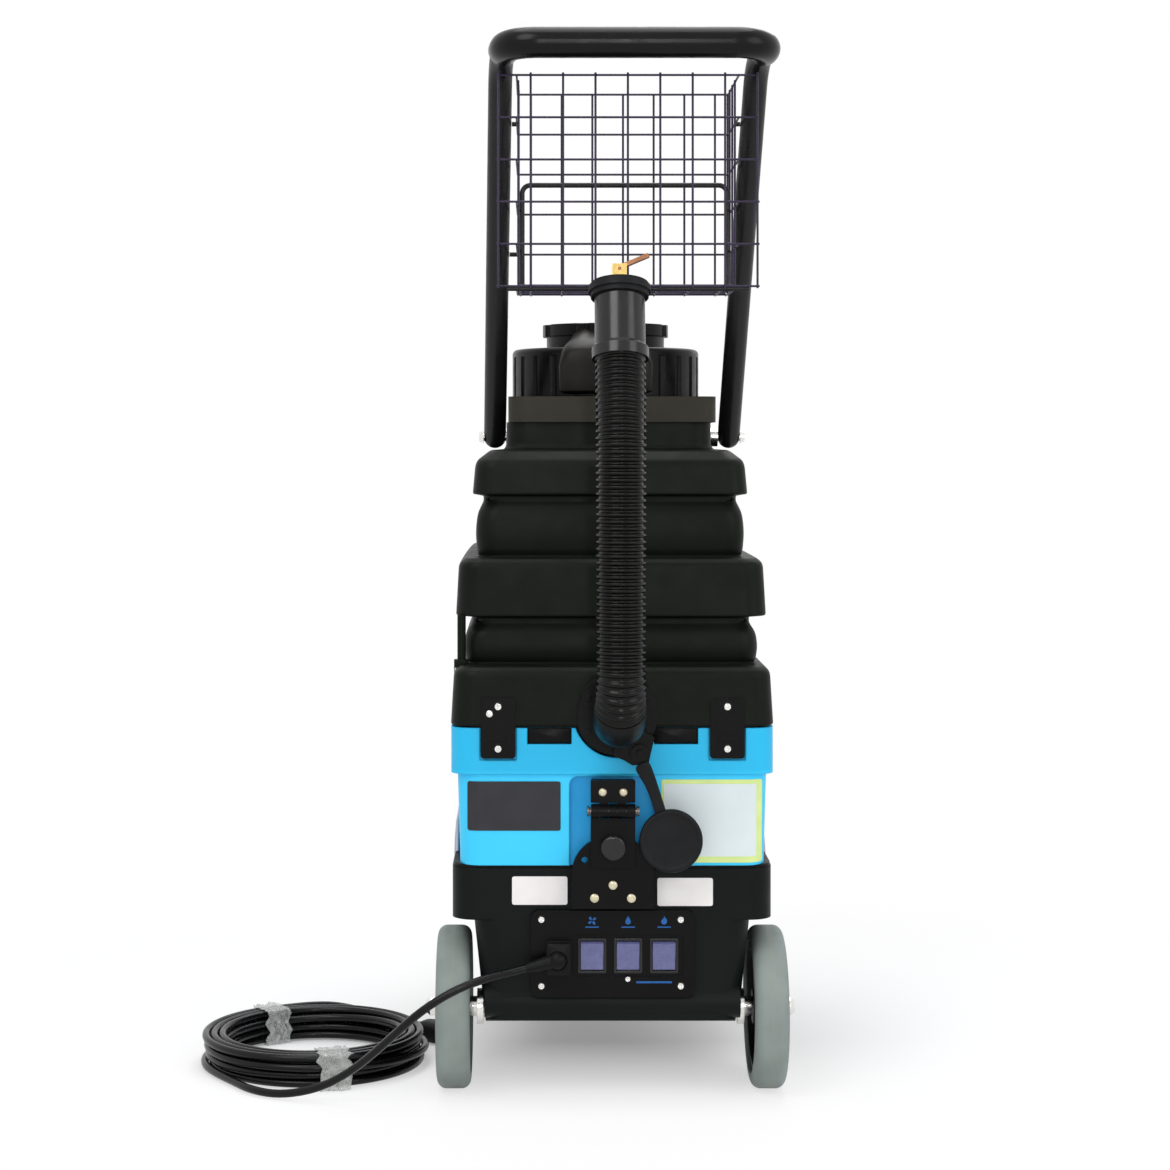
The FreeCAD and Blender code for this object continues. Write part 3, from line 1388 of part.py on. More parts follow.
def drain_plug():
    """A rubber plug: a broad lip on the cuff's mouth and a tapered body inside it."""
    lip = cyl(plug_lip_r - 2, plug_lip_t, V(0, 0, plug_seat), Z_AXIS)
    bead = cyl(plug_lip_r, plug_lip_t * 0.45, V(0, 0, plug_seat + plug_lip_t * 0.35), Z_AXIS)
    body = cone(hose_bore_r - 2.5, hose_bore_r - loose_gap, plug_cone_h,
                V(0, 0, plug_seat - plug_cone_h), Z_AXIS)
    plug = fuse_all([lip, bead, body])
    return along_cuff(plug.cut(cyl(stem_r - 1.6 + loose_gap, 90, V(0, 0, 0), Z_AXIS)))


def drain_stem():
    """A brass stem through the plug, with a washer and a fork for the lever."""
    top = plug_seat + plug_lip_t
    rod = cyl(stem_r - 1.6, plug_cone_h + plug_lip_t + 4, V(0, 0, plug_seat - plug_cone_h - 4), Z_AXIS)
    end_plate = cyl(11, 3, V(0, 0, plug_seat - plug_cone_h - 4 - 3 + 3.7), Z_AXIS)
    washer = cyl(11, 2, V(0, 0, top), Z_AXIS)
    head = box(-6.5, 6.5, -5, 5, top + 2, top + stem_h)
    fork = box(-8, 8, -2.4, 2.4, top + 6, top + stem_h + 1)
    eye = cyl(1.6 + running_gap, 20, V(0, -10, top + stem_h - 5), Y_AXIS)
    stem = fuse_all([rod, end_plate, washer, head])
    return along_cuff(stem.cut(fork).cut(eye).removeSplitter())


def drain_lever():
    """A cam lever on a cross pin in the stem's fork, lying up and to the right."""
    pin_z = plug_seat + plug_lip_t + stem_h - 5
    cam = cyl(5, 4, V(0, -2, pin_z), Y_AXIS)
    pin = cyl(1.6, 9.6, V(0, -4.8, pin_z), Y_AXIS)
    arm = box(0, 30, -2, 2, pin_z + 0.6, pin_z + 4.4)
    arm.rotate(V(0, 0, pin_z), Y_AXIS, -24)
    return along_cuff(fuse_all([cam, pin, arm]))


save(drain_port(), "drain_port")
save(drain_hose(), "drain_hose")
print("hose ribs", hose_ribs, "hose length", round(hose_length))
save(drain_cuff(), "drain_cuff")
save(drain_plug(), "drain_plug")
save(drain_stem(), "drain_stem")
save(drain_lever(), "drain_lever")


# Rubber cap on a strap that hangs below the port's eyelet and bends at its top
def strap_cap():
    """A round cap with a raised rim on a short slanting strap whose top end is rounded."""
    disc = cyl(cap_disc_r, 5, V(cap_hang_x, strap_y - 2.5, cap_hang_z), Y_AXIS)
    rim = tube(cap_disc_r - 6, cap_disc_r - 9, 5, V(cap_hang_x, strap_y - 7.5, cap_hang_z), Y_AXIS)
    low_x = cap_hang_x - 8
    low_z = cap_hang_z + cap_disc_r - 9
    half = strap_w / 2
    corners = [V(eyelet_x - half, 0, strap_bend_z), V(eyelet_x + half, 0, strap_bend_z),
               V(low_x + half, 0, low_z), V(low_x - half, 0, low_z), V(eyelet_x - half, 0, strap_bend_z)]
    strap = Part.Face(Part.makePolygon(corners)).extrude(V(0, strap_t, 0))
    strap.translate(V(0, strap_y - strap_t / 2, 0))
    roll = cyl(strap_t / 2, strap_w, V(eyelet_x - half, strap_y, strap_bend_z), X_AXIS)
    return fuse_all([disc, rim, strap, roll])


save(strap_cap(), "strap_cap")


# Handle: one bent tube whose two legs lean back from pivots on the neck
lean = math.radians(handle_lean)
bend_y = pivot_y - (bend_z - pivot_z) * math.tan(lean)


def leg_x(side, z):
    """Each leg's centre; the frame drifts a little to the right on its way up."""
    return handle_x + side * handle_half + handle_drift * (z - pivot_z) / (bend_z - pivot_z)


def handle_point(side, y, z):
    return V(leg_x(side, z), y, z)


def handle_path(start_height):
    """Up one leg, back at the bend, across the grip and down the other leg."""
    start_y = pivot_y - start_height * math.tan(lean)
    points = []
    for side in sides:
        leg = [handle_point(side, start_y, pivot_z + start_height),
               handle_point(side, bend_y, bend_z),
               V(leg_x(side, bend_z) + grip_shift, grip_y, grip_z)]
        points += leg if side < 0 else leg[::-1]
    return arc_path(points, [bend_r, grip_corner_r, grip_corner_r, bend_r])


def handle_frame():
    outer = pipe(handle_path(0), tube_r)
    inner = pipe(handle_path(24), tube_r - tube_wall)
    frame = outer.cut(inner)
    for side in sides:
        middle = V(leg_x(side, pivot_z), pivot_y, pivot_z)
        frame = frame.fuse(Part.makeSphere(tube_r, middle))
    for side in sides:
        middle = V(leg_x(side, pivot_z) - 20, pivot_y, pivot_z)
        frame = frame.cut(cyl(pivot_pin_r + running_gap, 40, middle, X_AXIS))
    return frame.removeSplitter()


def grip_sleeve():
    """A smooth sleeve round the top bar and its two corners."""
    lead_in = grip_y + grip_corner_r + 6
    rise = (grip_z - bend_z) / (grip_y - bend_y)
    lead_share = (lead_in - bend_y) / (grip_y - bend_y)
    points = []
    for side in sides:
        x = leg_x(side, bend_z)
        leg = [V(x + grip_shift * lead_share, lead_in, grip_z + (lead_in - grip_y) * rise),
               V(x + grip_shift, grip_y, grip_z)]
        points += leg if side < 0 else leg[::-1]
    path = arc_path(points, [grip_corner_r, grip_corner_r])
    return pipe(path, grip_r).cut(pipe(path, tube_r + loose_gap))


def pivot_bolts():
    """A pin from the neck's wall through each leg, with a domed head outside."""
    bolts = []
    for side in sides:
        inner_x = side * (neck_half - 8)
        outer_x = leg_x(side, pivot_z) + side * (tube_r + loose_gap)
        pin = cyl(pivot_pin_r, abs(outer_x - inner_x) + 2, V(inner_x, pivot_y, pivot_z), V(side, 0, 0))
        head = cone(bolt_head_r, bolt_head_r * 0.7, 4.5, V(outer_x, pivot_y, pivot_z), V(side, 0, 0))
        bolts.append(pin.fuse(head).removeSplitter())
    return bolts


def pivot_spacers():
    """A washer or a stack of washers between the neck and each leg."""
    spacers = []
    for side in sides:
        start = side * neck_half
        end = leg_x(side, pivot_z) - side * (tube_r + loose_gap)
        spacers.append(tube(9.5, pivot_pin_r + loose_gap, abs(end - start),
                            V(start, pivot_y, pivot_z), V(side, 0, 0)))
    return spacers


save(handle_frame(), "handle_frame")
save(grip_sleeve(), "grip_sleeve")
save(group(pivot_bolts() + pivot_spacers()), "pivot_bolts")


# Wire basket between the legs: each wall is one flat grid
basket_half = basket_pitch_x * basket_cells / 2
basket_top_z = basket_floor_z + basket_rows * basket_pitch_z
wire = basket_wire_r


def even_steps(start, end, count):
    return [start + (end - start) * number / count for number in range(count + 1)]


def grid_panel(columns, rows, thickness):
    """A flat net in the XZ plane: one face with a hole between each pair of wires."""
    outline = Part.makePolygon([V(columns[0] - wire, 0, rows[0] - wire),
                                V(columns[-1] + wire, 0, rows[0] - wire),
                                V(columns[-1] + wire, 0, rows[-1] + wire),
                                V(columns[0] - wire, 0, rows[-1] + wire),
                                V(columns[0] - wire, 0, rows[0] - wire)])
    holes = []
    for x0, x1 in zip(columns, columns[1:]):
        for z0, z1 in zip(rows, rows[1:]):
            holes.append(Part.makePolygon([V(x0 + wire, 0, z0 + wire), V(x1 - wire, 0, z0 + wire),
                                           V(x1 - wire, 0, z1 - wire), V(x0 + wire, 0, z1 - wire),
                                           V(x0 + wire, 0, z0 + wire)]))
    face = Part.makeFace([Part.Wire(outline.Edges)] + [Part.Wire(hole.Edges) for hole in holes],
                         "Part::FaceMakerBullseye")
    return face.extrude(V(0, thickness, 0))


def basket_rear_grid():
    columns = even_steps(basket_x - basket_half, basket_x + basket_half, basket_cells)
    rows = even_steps(basket_floor_z, basket_top_z, basket_rows)
    grid = grid_panel(columns, rows, 2 * wire)
    grid.translate(V(0, basket_rear_y - wire, 0))
    return grid


def front_columns():
    inner = [basket_x + number * basket_pitch_x for number in range(-3, 4)]
    return [basket_x - side_half] + inner + [basket_x + side_half]


def basket_front_grid():
    rows = even_steps(basket_floor_z, basket_top_z, basket_rows)
    grid = grid_panel(front_columns(), rows, 2 * wire)
    grid.translate(V(0, basket_front_y - wire, 0))
    return grid


def basket_side_grids():
    depth_rows = even_steps(basket_floor_z, basket_top_z, basket_rows)
    start = basket_rear_y + 2 * wire
    end = basket_front_y - 2 * wire
    grids = []
    for side in sides:
        grid = grid_panel(even_steps(start, end, 4), depth_rows, 2 * wire)
        grid.rotate(V(0, 0, 0), Z_AXIS, 90)
        grid.translate(V(basket_x + side * side_half + wire, 0, 0))
        grids.append(grid)
    return grids


def basket_floor_grid():
    start = basket_rear_y + 2 * wire
    end = basket_front_y - 2 * wire
    columns = front_columns()
    columns[0] += 2 * wire
    columns[-1] -= 2 * wire
    grid = grid_panel(columns, even_steps(start, end, 4), 2 * wire)
    grid.rotate(V(0, 0, 0), X_AXIS, -90)
    grid.translate(V(0, 0, basket_floor_z + wire))
    grid = grid.mirror(V(0, 0, basket_floor_z), Z_AXIS)
    return grid


def support_rod():
    """An arch of rod that stands on the basket's floor between the legs."""
    y = pivot_y - (support_top_z - pivot_z) * math.tan(lean)
    half = side_half - wire - support_rod_r - 0.4
    floor = basket_floor_z + wire
    points = [V(basket_x - half, y, floor), V(basket_x - half, y, support_top_z),
              V(basket_x + half, y, support_top_z), V(basket_x + half, y, floor)]
    return pipe(arc_path(points, [8, 8]), support_rod_r)


def basket_clips():
    """Short bars between the side grids and the legs."""
    clips = []
    for side in sides:
        for row in (1, basket_rows - 1):
            z = basket_floor_z + row * basket_pitch_z
            y = pivot_y - (z - pivot_z) * math.tan(lean)
            start = basket_x + side * (side_half + wire)
            end = leg_x(side, z) - side * (tube_r + loose_gap)
            clips.append(cyl(2.2, abs(end - start), V(start, y, z), V(side, 0, 0)))
    return clips


save(basket_rear_grid(), "basket_rear_grid")
save(group([basket_front_grid()] + basket_side_grids()), "basket_inner_grids")
save(basket_floor_grid(), "basket_floor_grid")
save(group([support_rod()] + basket_clips()), "basket_supports")
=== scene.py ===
import bpy
import math
from mathutils import Matrix, Vector, noise


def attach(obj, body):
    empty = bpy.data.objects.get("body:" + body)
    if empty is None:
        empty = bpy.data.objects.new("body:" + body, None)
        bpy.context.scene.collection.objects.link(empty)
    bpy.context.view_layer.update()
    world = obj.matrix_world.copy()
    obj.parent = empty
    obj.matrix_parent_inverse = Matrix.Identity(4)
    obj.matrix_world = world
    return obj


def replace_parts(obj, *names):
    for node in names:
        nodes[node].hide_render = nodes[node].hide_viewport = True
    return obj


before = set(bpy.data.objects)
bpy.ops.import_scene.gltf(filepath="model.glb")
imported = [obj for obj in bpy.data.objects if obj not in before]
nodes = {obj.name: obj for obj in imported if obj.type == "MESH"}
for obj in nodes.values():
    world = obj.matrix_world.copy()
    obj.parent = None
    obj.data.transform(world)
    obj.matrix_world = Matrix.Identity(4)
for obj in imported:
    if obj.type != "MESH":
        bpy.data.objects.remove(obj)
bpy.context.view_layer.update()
MM = 0.001


# Shader helpers: each adds one node and gives back the socket that comes out of it
def math_of(tree, operation, first, second=None):
    node = tree.nodes.new("ShaderNodeMath")
    node.operation = operation
    for socket, value in zip(node.inputs, (first, second)):
        if isinstance(value, (int, float)):
            socket.default_value = value
        elif value is not None:
            tree.links.new(value, socket)
    return node.outputs[0]


def span_of(tree, value, low, high, bottom=0.0, top=1.0):
    """Maps low..high to bottom..top and holds it at both ends."""
    node = tree.nodes.new("ShaderNodeMapRange")
    for name, number in (("From Min", low), ("From Max", high), ("To Min", bottom), ("To Max", top)):
        node.inputs[name].default_value = number
    tree.links.new(value, node.inputs["Value"])
    return node.outputs["Result"]


def noise_of(tree, place, scale, detail):
    node = tree.nodes.new("ShaderNodeTexNoise")
    node.inputs["Scale"].default_value = scale
    node.inputs["Detail"].default_value = detail
    tree.links.new(place, node.inputs["Vector"])
    return node.outputs["Fac"]


def mix_of(tree, share, first, color):
    """Blends a colour socket towards a fixed colour."""
    node = tree.nodes.new("ShaderNodeMix")
    node.data_type = "RGBA"
    tree.links.new(share, node.inputs[0])
    tree.links.new(first, node.inputs[6])
    node.inputs[7].default_value = (*color, 1)
    return node.outputs[2]


def axes_of(tree, place):
    node = tree.nodes.new("ShaderNodeSeparateXYZ")
    tree.links.new(place, node.inputs["Vector"])
    return node.outputs["X"], node.outputs["Y"], node.outputs["Z"]


def seen_rays(tree):
    """1 for camera, glossy and transmission rays, else 0."""
    rays = tree.nodes.new("ShaderNodeLightPath").outputs
    either = math_of(tree, "MAXIMUM", rays["Is Camera Ray"], rays["Is Glossy Ray"])
    return math_of(tree, "MAXIMUM", either, rays["Is Transmission Ray"])


# Materials: every one has cloudy colour, uneven roughness and a fine relief
def finish_of(name, color, rough, spread=0.07, metal=0.0, specular=0.5, coat=0.0, mottle=0.12,
              mottle_scale=14.0, grain=0.2, grain_scale=900.0, relief=0.2, edge=0.0,
              stretch=(1, 1, 1), alpha=1.0):
    material = bpy.data.materials.new(name)
    material.use_nodes = True
    tree = material.node_tree
    tree.nodes.clear()
    new, link = tree.nodes.new, tree.links.new
    output = new("ShaderNodeOutputMaterial")
    shader = new("ShaderNodeBsdfPrincipled")
    link(shader.outputs["BSDF"], output.inputs["Surface"])
    shader.inputs["Metallic"].default_value = metal
    shader.inputs["Specular IOR Level"].default_value = specular
    shader.inputs["Coat Weight"].default_value = coat
    shader.inputs["Coat Roughness"].default_value = 0.12
    shader.inputs["Alpha"].default_value = alpha

    place = new("ShaderNodeTexCoord")
    scale = new("ShaderNodeMapping")
    scale.inputs["Scale"].default_value = stretch
    link(place.outputs["Object"], scale.inputs["Vector"])
    spot = scale.outputs["Vector"]

    ramp = new("ShaderNodeValToRGB")
    dark, light = ramp.color_ramp.elements
    dark.position, light.position = 0.32, 0.68
    dark.color = [c * (1 - mottle) for c in color] + [1]
    light.color = [min(1, c * (1 + mottle)) for c in color] + [1]
    link(noise_of(tree, spot, mottle_scale, 5), ramp.inputs["Fac"])
    link(ramp.outputs["Color"], shader.inputs["Base Color"])

    scuff = noise_of(tree, spot, mottle_scale * 5, 6)
    low, high = max(rough - spread, 0.02), min(rough + spread, 1.0)
    link(span_of(tree, scuff, 0.3, 0.7, low, high), shader.inputs["Roughness"])

    bump = new("ShaderNodeBump")
    bump.inputs["Strength"].default_value = grain
    bump.inputs["Distance"].default_value = relief * MM
    link(noise_of(tree, spot, grain_scale, 3), bump.inputs["Height"])
    if edge:
        bevel = new("ShaderNodeBevel")
        bevel.samples = 5
        bevel.inputs["Radius"].default_value = edge * MM
        link(bevel.outputs["Normal"], bump.inputs["Normal"])
    link(bump.outputs["Normal"], shader.inputs["Normal"])
    return material


def sockets_of(tree):
    """A finish's base colour input, its cloudy colour and the object's X, Y and Z."""
    shader = next(node for node in tree.nodes if node.type == "BSDF_PRINCIPLED")
    ramp = next(node for node in tree.nodes if node.type == "VALTORGB")
    place = next(node for node in tree.nodes if node.type == "TEX_COORD")
    return shader.inputs["Base Color"], ramp.outputs["Color"], axes_of(tree, place.outputs["Object"])


def tyre_finish(name, middle_x):
    """Grey rubber with a faint mould line round the middle of the tread."""
    material = finish_of(name, (0.245, 0.285, 0.270), 0.62, specular=0.25, mottle=0.10,
                         mottle_scale=22, grain=0.25, grain_scale=1400, edge=1.0)
    tree = material.node_tree
    base_color, cloudy, (x, _, _) = sockets_of(tree)
    away = math_of(tree, "ABSOLUTE", math_of(tree, "SUBTRACT", x, middle_x * MM))
    line = span_of(tree, away, 0.4 * MM, 1.1 * MM, 0.35, 0.0)
    tree.links.new(mix_of(tree, line, cloudy, (0.30, 0.30, 0.20)), base_color)
    return material


def blue_finish():
    """Blue plastic with painted shade: darker on the upper flange and in the recess round the hinge."""
    material = finish_of("blue_plastic", (0.042, 0.60, 0.97), 0.42, specular=0.30, mottle=0.05,
                         mottle_scale=7, grain=0.22, grain_scale=900, edge=2.0)
    tree = material.node_tree
    base_color, cloudy, (x, y, z) = sockets_of(tree)
    recess_half, rear_limit_y = 50, -140
    middle = math_of(tree, "LESS_THAN", math_of(tree, "ABSOLUTE", x), recess_half * MM)
    rear = math_of(tree, "LESS_THAN", y, rear_limit_y * MM)
    sunk = span_of(tree, y, -171.0 * MM, -168.5 * MM)
    # Painted shade: the recess round the hinge is mixed to a darker blue
    recess_shade = math_of(tree, "MULTIPLY", math_of(tree, "MULTIPLY", middle, rear), sunk)
    # Painted shade: the upper flange is mixed to a darker blue
    flange_shade = span_of(tree, z, 303.0 * MM, 311.0 * MM, top=0.7)
    recess_shaded_color = mix_of(tree, recess_shade, cloudy, (0.001, 0.27, 0.66))
    tree.links.new(mix_of(tree, flange_shade, recess_shaded_color, (0.006, 0.43, 0.76)), base_color)
    return material


blue_plastic = blue_finish()
collar_brown = finish_of("collar_brown", (0.026, 0.024, 0.017), 0.50, specular=0.16, mottle=0.15,
                         mottle_scale=12, grain=0.3, grain_scale=1100, edge=1.0)
tank_black = finish_of("tank_black", (0.0042, 0.0062, 0.0040), 0.44, specular=0.10, mottle=0.25,
                       mottle_scale=9, grain=0.35, grain_scale=1100, relief=0.25, edge=1.0)
moulded_black = finish_of("moulded_black", (0.0018, 0.0022, 0.0018), 0.32, specular=0.13,
                          mottle=0.2, grain=0.3, grain_scale=1200, edge=1.5)
base_black = finish_of("base_black", (0.0040, 0.0058, 0.0054), 0.44, specular=0.11, mottle=0.22,
                       mottle_scale=8, grain=0.4, grain_scale=1000, edge=2.5)
rubber_black = finish_of("rubber_black", (0.0062, 0.0066, 0.0076), 0.52, specular=0.17, mottle=0.2,
                         mottle_scale=25, grain=0.3, grain_scale=1500, edge=0.8)
hose_black = finish_of("hose_black", (0.0026, 0.0028, 0.0022), 0.24, spread=0.05, specular=0.17,
                       mottle=0.15, mottle_scale=30, grain=0.1, grain_scale=1600)
gloss_black = finish_of("gloss_black", (0.0065, 0.0065, 0.0068), 0.20, spread=0.05, specular=0.40,
                        mottle=0.15, grain=0.06, grain_scale=700, edge=0.8)
grip_black = finish_of("grip_black", (0.0030, 0.0030, 0.0034), 0.24, spread=0.05, specular=0.17,
                       mottle=0.15, grain=0.12, grain_scale=500)
lobe_black = finish_of("lobe_black", (0.010, 0.009, 0.007), 0.36, specular=0.20, mottle=0.3,
                       mottle_scale=18, grain=0.3, grain_scale=1100, edge=2.0)
plate_black = finish_of("plate_black", (0.0026, 0.0026, 0.0030), 0.34, specular=0.11, mottle=0.2,
                        mottle_scale=20, grain=0.3, grain_scale=1300, relief=0.12, edge=0.5)
deep_black = finish_of("deep_black", (0.0040, 0.0042, 0.0040), 0.42, specular=0.12, mottle=0.2,
                       mottle_scale=25, grain=0.25, grain_scale=1300, edge=0.8)
pin_dark = finish_of("pin_dark", (0.13, 0.12, 0.11), 0.30, metal=1.0, mottle=0.1, mottle_scale=60,
                     grain=0.1, grain_scale=1200, edge=0.3)
painted_black = finish_of("painted_black", (0.0070, 0.0070, 0.0080), 0.34, specular=0.26, mottle=0.18,
                          mottle_scale=20, grain=0.35, grain_scale=1300, relief=0.12, edge=0.5)
wire_black = finish_of("wire_black", (0.022, 0.014, 0.040), 0.42, specular=0.30, mottle=0.2,
                       mottle_scale=60, grain=0.2, grain_scale=1800)
bright_steel = finish_of("bright_steel", (0.78, 0.77, 0.74), 0.18, metal=1.0, mottle=0.06,
                         mottle_scale=60, grain=0.1, grain_scale=1500, edge=0.3)
turned_steel = finish_of("turned_steel", (0.52, 0.52, 0.50), 0.34, metal=1.0, mottle=0.1,
                         mottle_scale=40, grain=0.25, grain_scale=900, stretch=(6, 1, 1), edge=0.4)
cast_grey = finish_of("cast_grey", (0.42, 0.42, 0.41), 0.48, metal=1.0, mottle=0.12, grain=0.4,
                      grain_scale=600, edge=1.0)
brass = finish_of("brass", (0.80, 0.56, 0.20), 0.26, metal=1.0, mottle=0.14, mottle_scale=90,
                  grain=0.15, grain_scale=1200, edge=0.4)
lever_brass = finish_of("lever_brass", (0.36, 0.17, 0.09), 0.34, metal=1.0, mottle=0.3,
                        mottle_scale=120, grain=0.2, grain_scale=1200, edge=0.4)
violet = finish_of("violet", (0.118, 0.124, 0.275), 0.30, specular=0.4, coat=0.2, mottle=0.12,
                   mottle_scale=120, grain=0.1, grain_scale=900, edge=0.6)
hub_black = finish_of("hub_black", (0.012, 0.012, 0.014), 0.45, specular=0.3, mottle=0.2, grain=0.25,
                      edge=1.2)
cord_black = finish_of("cord_black", (0.0028, 0.0028, 0.0034), 0.26, spread=0.05, specular=0.22,
                       mottle=0.2, mottle_scale=30, grain=0.12, grain_scale=1500)
tie_clear = finish_of("tie_clear", (0.70, 0.73, 0.70), 0.12, specular=1.0, coat=1.0, mottle=0.25,
                      mottle_scale=160, grain=1.0, grain_scale=180, relief=3.0, alpha=0.36)
plate_dark = finish_of("plate_dark", (0.020, 0.020, 0.026), 0.36, specular=0.35, mottle=0.16,
                       mottle_scale=40, grain=0.1, grain_scale=1600)
plate_white = finish_of("plate_white", (0.69, 0.77, 0.79), 0.40, specular=0.35, mottle=0.03,
                        mottle_scale=25, grain=0.08, grain_scale=1500)
plate_paper = finish_of("plate_paper", (0.82, 0.79, 0.79), 0.55, specular=0.25, mottle=0.04,
                        mottle_scale=40, grain=0.1, grain_scale=1700)
plate_edge = finish_of("plate_edge", (0.66, 0.80, 0.30), 0.40, specular=0.3, mottle=0.08,
                       mottle_scale=30, grain=0.08, grain_scale=1500)
print_blue = finish_of("print_blue", (0.010, 0.10, 0.34), 0.42, specular=0.3, mottle=0.15,
                       mottle_scale=200, grain=0.1)
lip_grey = finish_of("lip_grey", (0.50, 0.49, 0.56), 0.34, specular=0.4, mottle=0.06, grain=0.15,
                     edge=0.8)
cream = finish_of("cream", (0.62, 0.56, 0.40), 0.30, metal=0.55, mottle=0.12, mottle_scale=200,
                  grain=0.1, edge=0.3)


def dress(material, *names):
    """Gives CAD nodes their material."""
    for name in names:
        slots = nodes[name].data.materials
        slots.clear()
        slots.append(material)


dress(tank_black, "recovery_tank", "tank_fittings", "tank_pipes")
dress(collar_brown, "deck_collar")
dress(moulded_black, "lid", "lid_cap", "fill_cap", "terminal_box")
dress(base_black, "base_housing")
dress(rubber_black, "lid_gasket", "drain_plug", "strap_cap")
dress(deep_black, "base_seal", "drain_port", "cord_gland")
dress(hose_black, "drain_hose")
dress(gloss_black, "drain_cuff", "switch_bezels", "latch_knob", "mains_plug")
dress(grip_black, "grip_sleeve")
dress(painted_black, "handle_frame", "basket_supports")
dress(plate_black, "control_panel", "hinge_base_plate", "hinge_lower_leaf", "hinge_upper_leaf",
      "tank_brackets")
dress(wire_black, "basket_rear_grid", "basket_inner_grids", "basket_floor_grid")
dress(blue_plastic, "solution_tank", "float_ball")
dress(bright_steel, "axle_hardware", "base_screws", "tank_screws", "pivot_bolts",
      "left_caster_fork", "right_caster_fork")
dress(turned_steel, "rear_axle", "caster_plates", "pump_and_heater")
dress(pin_dark, "hinge_pin")
dress(cast_grey, "vacuum_motor", "vacuum_fan")
dress(brass, "solution_coupler", "drain_stem")
dress(lever_brass, "drain_lever")
dress(violet, "left_rocker", "middle_rocker", "right_rocker")
dress(hub_black, "left_wheel_hub", "right_wheel_hub")
WHEEL_X, CASTER_X = 148.5, 84.0
dress(tyre_finish("tyre_left", -WHEEL_X), "left_wheel_tyre")
dress(tyre_finish("tyre_right", WHEEL_X), "right_wheel_tyre")
dress(tyre_finish("roller_left", -CASTER_X), "left_caster_wheel")
dress(tyre_finish("roller_right", CASTER_X), "right_caster_wheel")
dress(cord_black, "mains_lead", "cord_coil")
dress(tie_clear, "cord_ties")


# Ways to make pieces; all lengths in millimetres
def place_piece(name, data, body):
    """An object in the scene that rides on a body, with the material that its data holds."""
    made = bpy.data.objects.new(name, data)
    bpy.context.scene.collection.objects.link(made)
    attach(made, body)
    return made


def piece(name, verts, faces, material, body, sharp=38, weighted=True):
    """A mesh piece; edges steeper than sharp degrees stay crisp."""
    mesh = bpy.data.meshes.new(name)
    mesh.from_pydata([[c * MM for c in v] for v in verts], [], faces)
    mesh.validate()
    mesh.update()
    for face in mesh.polygons:
        face.use_smooth = True
    mesh.set_sharp_from_angle(angle=math.radians(sharp))
    mesh.materials.append(material)
    made = place_piece(name, mesh, body)
    if weighted:
        even = made.modifiers.new("even", "WEIGHTED_NORMAL")
        even.keep_sharp = True
    return made


def bulge(value, power):
    """A sine or cosine drawn towards a square, with its sign kept."""
    return math.copysign(abs(value) ** power, value)


def round_ring(middle, across, other, radius, count):
    """A ring of points round a middle, in the plane of two square directions."""
    angles = [2 * math.pi * k / count for k in range(count)]
    return [tuple(middle + (across * math.cos(a) + other * math.sin(a)) * radius) for a in angles]


def skin_rings(rings, closed_ends=True):
    """Points and faces between rings of equal length, with the first and last closed or open."""
    count = len(rings[0])
    verts = [point for ring in rings for point in ring]
    faces = []
    for level in range(len(rings) - 1):
        for number in range(count):
            after = (number + 1) % count
            faces.append((level * count + number, level * count + after,
                          (level + 1) * count + after, (level + 1) * count + number))
    if closed_ends:
        faces.append(tuple(reversed(range(count))))
        faces.append(tuple(range((len(rings) - 1) * count, len(rings) * count)))
    return verts, faces


def tube_curve(name, radius, smoothness, material):
    """A curve with a round section, without any run yet."""
    curve = bpy.data.curves.new(name, "CURVE")
    curve.dimensions = "3D"
    curve.bevel_depth = radius * MM
    curve.bevel_resolution = smoothness
    curve.use_fill_caps = True
    curve.materials.append(material)
    return curve


def add_run(curve, kind, run):
    spline = curve.splines.new(kind)
    spline.points.add(len(run) - 1)
    for point, place in zip(spline.points, run):
        point.co = [c * MM for c in place] + [1]
    return spline


def wires(name, runs, radius, material, body):
    """Round bars along straight runs, as one curve object."""
    curve = tube_curve(name, radius, 3, material)
    for run in runs:
        add_run(curve, "POLY", run).use_smooth = True
    return place_piece(name, curve, body)


# Recovery tank: moulded bands with soft bellies, round edges, an open neck and a room inside
CORNER_STEPS = 7
SIDE_STEPS = 6


def outline(half, rear, front, z, radius=20.0, bow=0.7):
    """A rounded rectangle at height z whose straight sides bow out a little."""
    corners = [(half - radius, front - radius, 0), (-half + radius, front - radius, 90),
               (-half + radius, rear + radius, 180), (half - radius, rear + radius, 270)]
    points = []
    for number, (x, y, start) in enumerate(corners):
        for step in range(CORNER_STEPS + 1):
            angle = math.radians(start + 90 * step / CORNER_STEPS)
            points.append((x + radius * math.cos(angle), y + radius * math.sin(angle), z))
        after_x, after_y, after_start = corners[(number + 1) % 4]
        last = points[-1]
        angle = math.radians(after_start)
        goal = (after_x + radius * math.cos(angle), after_y + radius * math.sin(angle))
        for step in range(1, SIDE_STEPS):
            share = step / SIDE_STEPS
            out = bow * 4 * share * (1 - share)
            points.append((last[0] + (goal[0] - last[0]) * share + out * math.cos(angle),
                           last[1] + (goal[1] - last[1]) * share + out * math.sin(angle), z))
    return points


